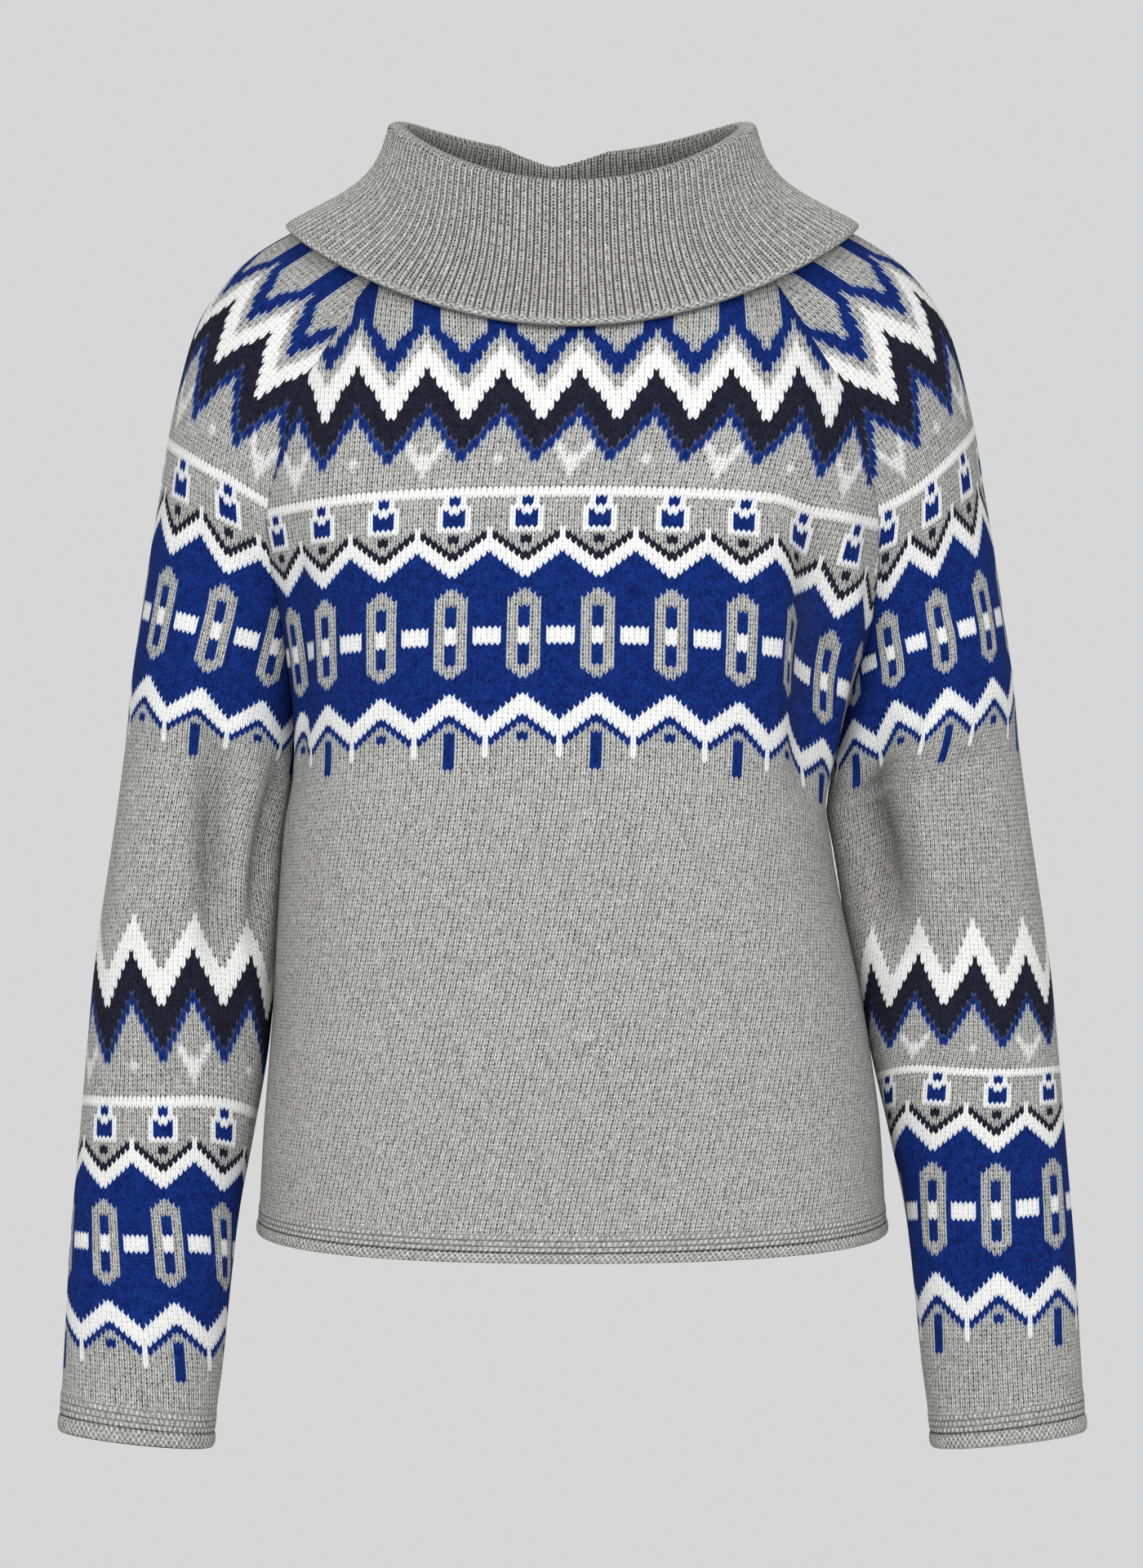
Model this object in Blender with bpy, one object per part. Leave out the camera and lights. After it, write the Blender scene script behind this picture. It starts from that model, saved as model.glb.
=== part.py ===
"""A raglan jumper with a folded, ribbed roll collar, as its five knitted pieces.

Metres, +Z up. The front faces -Y and the wearer's right arm is at -X. The origin is the
middle of the neck seam at shoulder height, where the wearer's neck and shoulders hold it.
Heights along the cloth are knitted rows: row 0 is the tip of the small chevron on the
chest, rows count up to the neck seam and down to the hem and the cuffs.
"""
import math

import bmesh
import bpy
from mathutils import Vector

MM = 0.001

# The cloth
WALL = 3.0 * MM  # heavy stocking stitch
RIB_WALL = 3.4 * MM  # one layer of the collar
SEAM_GAP = 0.3 * MM  # left between two pieces that are sewn together
EDGE_ROLL = 0.7 * MM  # how far the turned hem and cuffs stand proud
ROLL_ROWS = 3  # rows in that turned edge

# Knitted rows at the ends of the pieces
NECK_ROW = 67
UNDERARM_ROW = -48
HEM_ROW = -178
CUFF_ROW = -205

# The folded collar
RIBS = 144
RIB_DEPTH = 1.1 * MM
FOLD_GAP = 2.4 * MM  # between its two layers
RIB_CROWDING = 0.12  # ribs stand closer at the middle front of its free edge
NOTCH_DEPTH = 9.0 * MM  # the pinch at the middle of the back, where its ends are joined
NOTCH_ANGLE = math.radians(9)
NOTCH_AT = math.radians(-176)  # a little to the right of the middle back
STEPS_PER_HIDDEN_FACE = 4  # points of the ribbed face to one of the plain, hidden face

# How finely the walls are faceted
PANEL_COLUMNS = 32
SLEEVE_COLUMNS = 20
CURVE_SAMPLES = 48
EDGE_CROWDING = 0.35  # panel columns stand closer near the armholes


class Table:
    """Rows of numbers under named columns, read at any knitted row along smooth curves."""

    def __init__(self, columns, *rows):
        self.columns = columns
        self.rows = sorted(rows)

    def slope(self, index, column):
        """The curve's slope where it passes one of the table's rows."""
        before = self.rows[max(index - 1, 0)]
        after = self.rows[min(index + 1, len(self.rows) - 1)]
        return (after[column] - before[column]) / (after[0] - before[0])

    def at(self, row, name):
        """One column's value at a knitted row."""
        column = self.columns.index(name)
        last = len(self.rows) - 2
        index = min(max(sum(line[0] <= row for line in self.rows) - 1, 0), last)
        low, high = self.rows[index], self.rows[index + 1]
        step = high[0] - low[0]
        t = min(max((row - low[0]) / step, 0.0), 1.0)
        rise = 3 * t * t - 2 * t ** 3
        leaving = (t - 2 * t * t + t ** 3) * step * self.slope(index, column)
        arriving = (t ** 3 - t * t) * step * self.slope(index + 1, column)
        return low[column] + rise * (high[column] - low[column]) + leaving + arriving

    def point(self, row, prefix):
        """A point whose three columns share a prefix, in metres."""
        return Vector([self.at(row, prefix + axis) for axis in "xyz"]) * MM


# Millimetres. mid_ is the panel's middle line and edge_ its raglan or side seam on the
# wearer's left, which the other side mirrors. turn is how far the cloth has turned away
# from the front or back at that seam, in degrees.
PANEL_COLUMN_NAMES = ("row", "mid_x", "mid_y", "mid_z", "edge_x", "edge_y", "edge_z", "turn")
FRONT = Table(
    PANEL_COLUMN_NAMES,
    (67, 0, -98, -52, 96, -64, -36, 42),
    (60, 0, -108, -65, 111, -70, -51, 42),
    (54, 0, -114, -78.5, 123, -74, -68.5, 43),
    (48, 0, -118, -92.5, 134, -76, -86.5, 44),
    (40, 0, -121, -111.5, 147, -76, -107, 46),
    (33, 0, -122.5, -128, 155, -74, -129, 48),
    (23, 0, -124, -151, 163, -68, -158, 52),
    (16, 0, -125, -167.5, 166.5, -61, -176.5, 56),
    (8, 0, -125.5, -186, 166, -52, -195, 62),
    (0, 0, -126, -203.5, 163.5, -43, -213.5, 68),
    (-10, 0, -126, -226, 160, -34, -235.5, 75),
    (-18, 0, -126, -244, 157.5, -26, -255, 80),
    (-33, 0, -126, -277.5, 154.5, -12, -289, 87),
    (-48, 0, -125.5, -311, 155, 0, -319.5, 90),
    (-60, 0, -125, -337, 159.5, 0, -345, 90),
    (-75, 0, -124, -369, 162, 0, -374, 90),
    (-92, 0, -123, -404.5, 164, 0, -407.5, 90),
    (-110, 0, -122, -441.5, 166, 0, -442.5, 90),
    (-128, 0, -121, -478, 168.5, 0, -477, 90),
    (-146, 0, -120, -514, 171, 0, -511, 90),
    (-164, 0, -120, -549.5, 173, 0, -544, 90),
    (-178, 0, -120.5, -579, 174.5, 0, -570.5, 90),
)
BACK = Table(
    PANEL_COLUMN_NAMES,
    (67, 0, 78, -20, 94, 58, -10, 42),
    (60, 0, 91, -31, 109, 68, -27, 42),
    (54, 0, 99, -43.5, 121.5, 73, -45, 43),
    (48, 0, 104.5, -58, 132.5, 76, -64, 44),
    (40, 0, 109, -78.5, 145.5, 77, -87.5, 46),
    (33, 0, 111.5, -97.5, 154, 75, -109, 48),
    (23, 0, 113.5, -125.5, 162, 69, -141, 52),
    (16, 0, 114, -145.5, 165.5, 62, -162, 56),
    (8, 0, 114, -168, 165, 53, -184, 62),
    (0, 0, 113.5, -190.5, 163, 44, -205.5, 68),
    (-10, 0, 112.5, -217.5, 160, 35, -230, 75),
    (-18, 0, 112, -238, 157.5, 26, -251, 80),
    (-33, 0, 111, -275, 154.5, 12, -287, 87),
    (-48, 0, 110.5, -311, 155, 0, -319.5, 90),
    (-60, 0, 110.5, -337, 159.5, 0, -345, 90),
    (-75, 0, 111, -369, 162, 0, -374, 90),
    (-92, 0, 112, -404.5, 164, 0, -407.5, 90),
    (-110, 0, 113, -441.5, 166, 0, -442.5, 90),
    (-128, 0, 114, -478, 168.5, 0, -477, 90),
    (-146, 0, 115, -514, 171, 0, -511, 90),
    (-164, 0, 116, -549.5, 173, 0, -544, 90),
    (-178, 0, 116.5, -577, 174.5, 0, -570.5, 90),
)
# outer_ is the sleeve's outer line, over the shoulder and down the arm. inner_ is its
# underarm line, which exists below the armhole only. start is the angle between the
# seam-to-seam chord and the cloth where it leaves the raglan seam, in degrees. depth is
# half the sleeve's size from front to back.
SLEEVE = Table(
    ("row", "outer_x", "outer_y", "outer_z", "inner_x", "inner_y", "inner_z", "start", "depth"),
    (67, 114, 4, 0, 156, 0, -319.5, 50, 46),
    (60, 146, 4, -11, 156, 0, -319.5, 49, 46),
    (54, 169, 4, -23, 156, 0, -319.5, 48, 46),
    (48, 186.5, 4, -36.5, 156, 0, -319.5, 49, 46),
    (40, 203.5, 3, -58.5, 156, 0, -319.5, 52, 46),
    (33, 212, 3, -78, 156, 0, -319.5, 58, 46),
    (23, 221, 2, -113.5, 156, 0, -319.5, 70, 46),
    (16, 225.5, 2, -135.5, 156, 0, -319.5, 82, 46),
    (8, 229, 1, -159, 156, 0, -319.5, 96, 46),
    (0, 233, 1, -182, 156, 0, -319.5, 110, 46),
    (-10, 237, 0, -208.5, 156, 0, -319.5, 128, 46),
    (-18, 240, 0, -228, 156, 0, -319.5, 142, 46),
    (-33, 245.5, 0, -264.5, 156, 0, -319.5, 163, 46),
    (-48, 249, 0, -301, 156, 0, -319.5, 180, 46),
    (-64, 254, -1, -339.5, 161.8, -1, -358.5, 180, 45),
    (-80, 259.5, -2, -378, 164.4, -2, -396.5, 180, 43.5),
    (-96, 264.5, -3, -416, 166.8, -3, -434.5, 180, 42.5),
    (-112, 268.5, -4, -454.5, 170, -4, -472.5, 180, 41),
    (-130, 273, -6, -498, 176.5, -6, -515, 180, 39),
    (-148, 276.5, -8, -541.5, 184.5, -8, -558, 180, 37),
    (-166, 279.5, -10, -585, 189.5, -10, -600.5, 180, 35),
    (-184, 281.5, -12, -628, 193.5, -12, -642, 180, 33),
    (-196, 283, -13, -657, 197, -13, -669, 180, 32),
    (-205, 284, -14, -680, 199.5, -14, -689.5, 180, 32),
)

# The left armhole hangs lower and further in than the right: how far its seam's edge is
# moved sideways and down, and how far the sleeve's underarm line is moved with it.
LEAN = Table(
    ("row", "body_x", "body_z", "sleeve_x"),
    (24, 0, 0, 0),
    (12, 1, -1.5, 0),
    (0, 3, -5, 0),
    (-10, 3, -8, 0),
    (-18, -1, -10, 0),
    (-33, -7, -12.5, 0),
    (-48, -14, -14, -14),
    (-60, -16, -10, -14.5),
    (-75, -14.5, -6, -12),
    (-92, -10, -3, -7),
    (-110, -5, -1, -3),
    (-128, -2, 0, -1),
    (-146, 0, 0, 0),
    (-178, 0, 0, 0),
)

# The largest folds: where they lie across a panel as shares of its half width, at their
# upper and lower end, the rows they run through, and their half width and depth in
# millimetres. A ridge has a depth below zero.
FOLD_COLUMN_NAMES = ("piece", "side", "top", "bottom", "upper", "lower", "width", "depth")
FOLDS = (
    ("front", 1, 0.67, 0.65, 14, -70, 13, 13.0),
    ("front", 1, 0.86, 0.84, 16, -56, 11, -4.0),
    ("front", -1, 0.84, 0.80, 18, -58, 10, 4.0),
    ("back", 1, 0.80, 0.74, 14, -58, 12, 5.0),
    ("back", -1, 0.78, 0.76, 10, -60, 12, 5.0),
    ("sleeve", 1, -0.52, -0.66, 10, -52, 10, 3.5),
    ("sleeve", -1, -0.56, -0.62, 14, -60, 10, 3.5),
    ("sleeve", 1, 0.54, 0.62, 12, -56, 11, 4.0),
    ("sleeve", -1, 0.56, 0.60, 8, -58, 11, 4.0),
)

# The collar's rings in millimetres: half width, reach to the front and to the back, and
# height at the front, sides and back.
RING_COLUMN_NAMES = ("half_width", "front", "back", "z_front", "z_side", "z_back")
FOLD_RING = dict(zip(RING_COLUMN_NAMES, (97.5, 89, 80, 3, 44.5, 37)))
FREE_EDGE = dict(zip(RING_COLUMN_NAMES, (157, 129, 118, -78.5, -15, -46)))


def bezier(a, b, c, d, t):
    """A point on the cubic with these four control points."""
    s = 1 - t
    return s ** 3 * a + 3 * s * s * t * b + 3 * s * t * t * c + t ** 3 * d


def even_steps(curve, share):
    """The point at a share of a sampled curve's length."""
    lengths = [0.0]
    for before, after in zip(curve, curve[1:]):
        lengths.append(lengths[-1] + (after - before).length)
    target = share * lengths[-1]
    index = min(max(sum(length <= target for length in lengths) - 1, 0), len(curve) - 2)
    step = lengths[index + 1] - lengths[index]
    return curve[index].lerp(curve[index + 1], (target - lengths[index]) / step)


def edge_point(table, row, side):
    """A panel's raglan or side seam: side is 1 at the wearer's left and -1 at the right."""
    edge = table.point(row, "edge_")
    if side > 0:
        edge += Vector((LEAN.at(row, "body_x"), 0, LEAN.at(row, "body_z"))) * MM
    return edge


def panel_half(table, row, side):
    """Half of a front or back section, from its middle line to one seam, drawn at +X."""
    middle, edge = table.point(row, "mid_"), edge_point(table, row, side)
    turn = math.radians(table.at(row, "turn"))
    inwards = 1 if middle.y < 0 else -1
    flat_reach = 0.69
    seam_reach = 0.6
    shoulder = Vector((flat_reach * edge.x, middle.y, middle.z))
    arriving = Vector((math.cos(turn), inwards * math.sin(turn), 0))
    hip = edge - arriving * seam_reach * (edge - shoulder).length
    hip.z = middle.z + seam_reach * (edge.z - middle.z)
    steps = [i / CURVE_SAMPLES for i in range(CURVE_SAMPLES + 1)]
    return [bezier(middle, shoulder, hip, edge, t) for t in steps]


def panel_point(table, across, row):
    """A panel's outer surface: across runs from -1 at the right seam to 1 at the left."""
    point = even_steps(panel_half(table, row, math.copysign(1, across)), abs(across))
    return Vector((math.copysign(point.x, across), point.y, point.z))


def sleeve_half(row, seam_table, side):
    """Half of a sleeve's section, from its front or back seam to its outer line."""
    outer = SLEEVE.point(row, "outer_")
    if row > UNDERARM_ROW:
        front, back = edge_point(FRONT, row, side), edge_point(BACK, row, side)
    else:
        front = back = SLEEVE.point(row, "inner_")
        if side > 0:
            lean = Vector((LEAN.at(row, "sleeve_x"), 0, LEAN.at(row, "body_z"))) * MM
            front = back = front + lean
    middle = (front + back) / 2
    half_chord = (back - front).length / 2
    along = (back - front).normalized() if half_chord > 0 else Vector((0, 1, 0))
    outwards = outer - middle
    outwards -= along * outwards.dot(along)
    height = outwards.length
    outwards.normalize()
    arc = 2 * math.atan2(height, half_chord)
    radius = (half_chord ** 2 + height ** 2) / (2 * height)
    handle = 4 / 3 * math.tan(arc / 4) * radius
    if row <= UNDERARM_ROW:
        handle = 4 / 3 * SLEEVE.at(row, "depth") * MM
    start = math.radians(SLEEVE.at(row, "start"))
    seam, facing = (front, 1) if seam_table is FRONT else (back, -1)
    leaving = along * facing * math.cos(start) + outwards * math.sin(start)
    controls = (
        seam,
        seam + leaving * handle,
        outer - along * facing * handle,
        outer,
    )
    return [bezier(*controls, i / CURVE_SAMPLES) for i in range(CURVE_SAMPLES + 1)]


def sleeve_point(side, across, row):
    """A sleeve's outer surface: across runs from -1 at the front seam to 1 at the back."""
    seam_table = FRONT if across <= 0 else BACK
    point = even_steps(sleeve_half(row, seam_table, side), 1 - abs(across))
    return Vector((side * point.x, point.y, point.z))


def fold_depth(piece, side, across, row, half_width):
    """How far the large folds push a piece's surface in at one place."""
    depth = 0.0
    for values in FOLDS:
        fold = dict(zip(FOLD_COLUMN_NAMES, values))
        if fold["piece"] != piece or (piece == "sleeve" and fold["side"] != side):
            continue
        down = (fold["upper"] - row) / (fold["upper"] - fold["lower"])
        if not 0 < down < 1:
            continue
        share = fold["top"] + (fold["bottom"] - fold["top"]) * down
        centre = share if piece == "sleeve" else fold["side"] * share
        away = (across - centre) * half_width / (fold["width"] * MM)
        depth += fold["depth"] * MM * math.sin(math.pi * down) * math.exp(-away * away)
    return depth


def edge_roll(row, last_row):
    """How far the turned edge at a hem or cuff stands proud of the cloth above it."""
    along = (row - last_row) / ROLL_ROWS
    return EDGE_ROLL * math.sin(math.pi * min(along, 1.0)) if along < 1 else 0.0


def normal_of(surface, across, row):
    """The outward direction of a surface that is given by across and row."""
    step_across, step_row = 0.01, 0.5
    left, right = max(across - step_across, -1), min(across + step_across, 1)
    along = surface(right, row) - surface(left, row)
    up = surface(across, row + step_row) - surface(across, row - step_row)
    return along.cross(up).normalized()


def seam_normal(own, other):
    """The way a wall goes in at a seam that both pieces share: mitred, but not in a fold."""
    return (own + other * max(own.dot(other), 0.0)).normalized()


def new_object(name, bm, colour, roughness):
    """A finished piece with its own material."""
    bmesh.ops.recalc_face_normals(bm, faces=bm.faces)
    mesh = bpy.data.meshes.new(name)
    bm.to_mesh(mesh)
    bm.free()
    mesh.shade_smooth()
    material = bpy.data.materials.new(name + "_knit")
    material.use_nodes = True
    shader = material.node_tree.nodes["Principled BSDF"]
    shader.inputs["Base Color"].default_value = (*colour, 1)
    shader.inputs["Roughness"].default_value = roughness
    mesh.materials.append(material)
    piece = bpy.data.objects.new(name, mesh)
    bpy.context.collection.objects.link(piece)
    return piece


def flat_wall(columns, rows):
    """A closed slab of cloth, laid flat: x is across, y counts rows, z is 0 out and 1 in."""
    bm = bmesh.new()
    bmesh.ops.create_grid(bm, x_segments=columns, y_segments=len(rows) - 1, size=1)
    for vertex in bm.verts:
        vertex.co.y = rows[round((vertex.co.y + 1) / 2 * (len(rows) - 1))]
    inner = bmesh.ops.extrude_face_region(bm, geom=bm.faces[:], use_keep_orig=True)
    for vertex in inner["geom"]:
        if isinstance(vertex, bmesh.types.BMVert):
            vertex.co.z = 1
    return bm


def panel(name, table, colour):
    """The front or the back, from the hem to the neck seam, between the raglan seams."""
    rows = sorted({line[0] for line in table.rows} | {HEM_ROW + ROLL_ROWS, HEM_ROW + ROLL_ROWS // 2})
    bm = flat_wall(PANEL_COLUMNS, rows)
    inwards = 1 if table is BACK else -1

    def surface(across, row):
        return panel_point(table, -inwards * across, row)

    for vertex in bm.verts:
        flat, row, layer = vertex.co
        across = flat + EDGE_CROWDING * math.sin(math.pi * flat) / math.pi
        here = surface(across, row)
        outwards = normal_of(surface, across, row)
        half_width = (surface(1, row) - surface(0, row)).length * 1.1
        place = here + outwards * edge_roll(row, HEM_ROW)
        place -= outwards * fold_depth(name, 0, -inwards * across, row, half_width)
        inner = outwards
        if abs(flat) > 0.999:
            side = 1 if here.x > 0 else -1
            facing = -1 if table is FRONT else 1
            if row > UNDERARM_ROW:
                other = sleeve_normal(side, facing, row)
            else:
                other = Vector((side, 0, 0))
            inner = seam_normal(outwards, other)
            back_off = surface(across - math.copysign(0.02, flat), row) - here
            place += back_off.normalized() * SEAM_GAP / 2
        vertex.co = place - inner * WALL * layer
    return new_object(name, bm, colour, 0.9)


def sleeve_normal(side, facing, row):
    """A sleeve's outward direction at its front seam, facing -1, or its back seam, 1."""

    def surface(across, at_row):
        return sleeve_point(side, across, at_row)

    return normal_of(surface, facing, row) * side


def sleeve(name, side, colour):
    """One sleeve: open between its raglan seams, and a closed tube below the armhole."""
    rows = sorted(
        {line[0] for line in SLEEVE.rows} | {CUFF_ROW + ROLL_ROWS, CUFF_ROW + ROLL_ROWS // 2}
    )
    bm = flat_wall(SLEEVE_COLUMNS, rows)

    def surface(across, row):
        return sleeve_point(side, side * across, row)

    inner_rims = [
        face
        for face in bm.faces
        if all(abs(v.co.x) > 0.999 and v.co.y <= UNDERARM_ROW for v in face.verts)
    ]
    bmesh.ops.delete(bm, geom=inner_rims, context="FACES_ONLY")
    for vertex in bm.verts:
        across, row, layer = vertex.co
        here = surface(across, row)
        at_seam = abs(across) > 0.999
        closed = row <= UNDERARM_ROW
        if at_seam and closed:
            outwards = Vector((-side, 0, 0))
            place = here
        else:
            outwards = normal_of(surface, across, row)
            half_width = (surface(0, row) - surface(-1, row)).length * 1.3
            place = here + outwards * edge_roll(row, CUFF_ROW)
            place -= outwards * fold_depth("sleeve", side, side * across, row, half_width)
        inner = outwards
        if at_seam and not closed:
            table = FRONT if side * across < 0 else BACK
            inner = seam_normal(outwards, panel_normal(table, side, row))
            back_off = surface(across * 0.97, row) - here
            place += back_off.normalized() * SEAM_GAP / 2
        vertex.co = place - inner * WALL * layer
    bmesh.ops.remove_doubles(bm, verts=bm.verts, dist=SEAM_GAP / 10)
    return new_object(name, bm, colour, 0.9)


def panel_normal(table, side, row):
    """A panel's outward direction at its raglan seam on one side."""
    inwards = 1 if table is BACK else -1

    def surface(across, at_row):
        return panel_point(table, -inwards * across, at_row)

    return normal_of(surface, -inwards * side, row)


def ring_point(ring, angle):
    """A point on one of the collar's rings: angle 0 is the middle front, pi the back."""
    reach = ring["front"] if math.cos(angle) > 0 else ring["back"]
    swing = (ring["z_front"] - ring["z_back"]) / 2
    sway = ((ring["z_front"] + ring["z_back"]) / 2 - ring["z_side"]) / 2
    height = ring["z_side"] + sway + swing * math.cos(angle) + sway * math.cos(2 * angle)
    return Vector((ring["half_width"] * math.sin(angle), -reach * math.cos(angle), height)) * MM


def neck_seam():
    """The wearer's-left half of the neck seam, from the middle front to the middle back."""
    front = panel_half(FRONT, NECK_ROW, 1)
    shoulder = sleeve_half(NECK_ROW, FRONT, 1)[1:] + sleeve_half(NECK_ROW, BACK, 1)[-2::-1]
    back = panel_half(BACK, NECK_ROW, 1)[-2::-1]
    return front + shoulder + back


def notch(angle):
    """How far the fold dips where the collar's two ends are joined at the back."""
    apart = abs(angle - NOTCH_AT)
    away = min(apart, 2 * math.pi - apart) / NOTCH_ANGLE
    return NOTCH_DEPTH * math.exp(-away * away)


def collar_profile(angle):
    """Both faces of the collar's wall at one angle, from the neck seam to its free edge."""
    side = -1 if angle < 0 else 1
    seam = even_steps(neck_seam(), abs(angle) / math.pi)
    seam.x *= side
    fold = ring_point(FOLD_RING, angle)
    fold.z -= notch(angle)
    edge = ring_point(FREE_EDGE, angle - RIB_CROWDING * math.sin(2 * angle))
    outwards = Vector((math.sin(angle), -math.cos(angle), 0))
    up = Vector((0, 0, 1))
    lift = up * (SEAM_GAP + WALL * 0.25)
    rise = fold - seam
    half_gap = outwards * FOLD_GAP / 2
    wall = outwards * RIB_WALL
    inner_top = fold - half_gap - up * (RIB_WALL + FOLD_GAP)
    outer_top = fold + half_gap - up * (RIB_WALL + FOLD_GAP)
    fall = edge - outer_top
    down = Vector((0, 0, fall.z))
    flare = fall - down
    edge_wall = (flare.normalized() * abs(fall.z) + up * flare.length).normalized() * RIB_WALL
    controls = (
        outer_top,
        outer_top + 0.10 * flare + 0.55 * down,
        outer_top + 0.48 * flare + 0.70 * down,
        edge,
    )
    quarter, middle, three_quarters = (bezier(*controls, t) for t in (0.22, 0.5, 0.76))
    waist = seam + 0.45 * rise - outwards * 1.5 * MM
    ribbed = [
        seam + lift - wall,
        waist - wall,
        inner_top - wall,
        fold,
        outer_top + wall,
        quarter + wall,
        middle + wall.lerp(edge_wall, 0.5),
        three_quarters + wall.lerp(edge_wall, 0.8),
        edge + edge_wall,
    ]
    plain = [
        seam + lift,
        waist,
        inner_top,
        fold - up * RIB_WALL,
        outer_top,
        middle,
        edge,
    ]
    return ribbed, plain


def ring_skin(bm, columns, profiles, raised):
    """One face of the collar, as a grid that is closed round into a ring."""
    rows = len(profiles(0)) - 1
    made = bmesh.ops.create_grid(bm, x_segments=columns, y_segments=rows, size=1)["verts"]
    for vertex in made:
        column = round((vertex.co.x + 1) / 2 * columns) % columns
        row = round((vertex.co.y + 1) / 2 * rows)
        angle = 2 * math.pi * column / columns - math.pi
        place = profiles(angle)[row]
        vertex.co = place + raised(column, angle, row, rows)
    merged = bmesh.ops.remove_doubles(bm, verts=made, dist=SEAM_GAP / 10)
    return merged


def collar(name, colour):
    """The ribbed collar, folded over: ribs on the face that shows, plain within the fold."""
    columns = 2 * RIBS
    bm = bmesh.new()

    def rib(column, angle, row, rows):
        if column % 2 == 0:
            return Vector((0, 0, 0))
        outwards = Vector((math.sin(angle), -math.cos(angle), 0))
        top = (rows - 5)
        if row < top:
            return outwards * RIB_DEPTH
        if row == top:
            return Vector((0, 0, -RIB_DEPTH))
        return -outwards * RIB_DEPTH

    def level(column, angle, row, rows):
        return Vector((0, 0, 0))

    ring_skin(bm, columns, lambda angle: collar_profile(angle)[0], rib)
    ring_skin(bm, columns // STEPS_PER_HIDDEN_FACE, lambda angle: collar_profile(angle)[1], level)
    open_edges = [edge for edge in bm.edges if edge.is_boundary]
    seam_edges = [edge for edge in open_edges if is_on_seam(edge)]
    free_edges = [edge for edge in open_edges if not is_on_seam(edge)]
    for loops in (seam_edges, free_edges):
        bmesh.ops.bridge_loops(bm, edges=loops)
    return new_object(name, bm, colour, 0.92)


def is_on_seam(edge):
    """Whether an open edge of the collar is at the neck seam, not at its free edge."""
    middle = (edge.verts[0].co + edge.verts[1].co) / 2
    halfway = (FREE_EDGE["half_width"] + SLEEVE.at(NECK_ROW, "outer_x")) / 2 * MM
    share = (middle.x / halfway) ** 2 + (middle.y / (halfway * 0.86)) ** 2
    return share < 1


def main():
    for old in list(bpy.data.objects):
        bpy.data.objects.remove(old, do_unlink=True)
    grey_marl = (0.42, 0.43, 0.42)
    royal_band = (0.02, 0.05, 0.22)
    panel("front", FRONT, grey_marl)
    panel("back", BACK, grey_marl)
    sleeve("sleeve_right", -1, royal_band)
    sleeve("sleeve_left", 1, royal_band)
    collar("collar", grey_marl)


main()
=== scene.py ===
"""A knitted jumper with a folded rib collar and a banded yoke, dressed stitch by stitch."""

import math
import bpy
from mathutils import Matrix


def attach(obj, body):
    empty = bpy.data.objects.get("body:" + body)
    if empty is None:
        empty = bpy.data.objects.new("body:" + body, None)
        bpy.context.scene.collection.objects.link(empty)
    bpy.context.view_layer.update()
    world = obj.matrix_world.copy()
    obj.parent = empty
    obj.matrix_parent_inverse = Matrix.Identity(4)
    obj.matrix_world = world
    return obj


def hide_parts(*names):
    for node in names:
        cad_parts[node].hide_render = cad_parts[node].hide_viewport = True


bl_info = {
    "name": "Nordic Yoke Jumper",
    "version": (1, 0, 0),
    "blender": (4, 5, 0),
    "location": "3D View > Sidebar > Jumper",
    "description": "Knits a jumper's front, back, sleeves and collar over its fixed frame",
    "category": "Object",
}

import bmesh
import bpy
import numpy as np
from mathutils import Vector
from mathutils.bvhtree import BVHTree

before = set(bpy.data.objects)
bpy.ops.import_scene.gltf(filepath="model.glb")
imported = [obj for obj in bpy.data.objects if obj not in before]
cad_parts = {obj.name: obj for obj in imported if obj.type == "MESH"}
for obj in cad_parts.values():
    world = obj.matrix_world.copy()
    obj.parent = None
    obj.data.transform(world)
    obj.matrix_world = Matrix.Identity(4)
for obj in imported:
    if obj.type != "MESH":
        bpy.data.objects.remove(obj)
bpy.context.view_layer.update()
MM = 0.001

# Knitted rows. Row 0 is at the chest, and the cuffs' rows are counted on the sleeves.
NECK_ROW = 67
LINE_ROW = 16  # the upper row of the white line below the peaks
UNDERARM_ROW = -48
HEM_ROW = -178
CUFF_ROW = -205
TURNED_ROWS = 8  # in the turned edges, where the mesh is finer
ROW_HEIGHT = 2.36 * MM
REPEAT = 13  # stitches in the yoke's repeat

# Where the cloth's sections are sampled before the stitches are laid on them
SECTION_STEPS = 160
ROW_STEP = 0.5
MERGE = 0.02 * MM


def eased(t, low, high, leaving, arriving):
    """A smooth run from low to high as t goes from 0 to 1, with its slopes at both ends."""
    rise = 3 * t**2 - 2 * t**3
    return low + rise * (high - low) + (t - 2 * t**2 + t**3) * leaving + (t**3 - t**2) * arriving


class Table:
    """Rows of numbers under named columns, read at any knitted row along smooth curves."""

    def __init__(self, columns, *rows):
        ordered = np.array(sorted(rows), float)
        padded = np.pad(ordered, ((1, 1), (0, 0)), mode="edge")
        span = padded[2:] - padded[:-2]
        self.rows = ordered[:, 0]
        self.values = dict(zip(columns, ordered.T))
        self.slopes = dict(zip(columns, (span / span[:, :1]).T))

    def at(self, row, name):
        """A column's value at a row, or at an array of them. A column left out is 0."""
        row = np.clip(np.asarray(row, float), self.rows[0], self.rows[-1])
        if name not in self.values:
            return np.zeros_like(row)
        index = np.clip(np.searchsorted(self.rows, row, side="right") - 1, 0, len(self.rows) - 2)
        step = self.rows[index + 1] - self.rows[index]
        value, slope = self.values[name], self.slopes[name]
        t = (row - self.rows[index]) / step
        return eased(t, value[index], value[index + 1], step * slope[index], step * slope[index + 1])

    def point(self, row, prefix):
        """Points whose three columns share a prefix, in metres."""
        return np.stack([self.at(row, prefix + axis) for axis in "xyz"], -1) * MM


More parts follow.
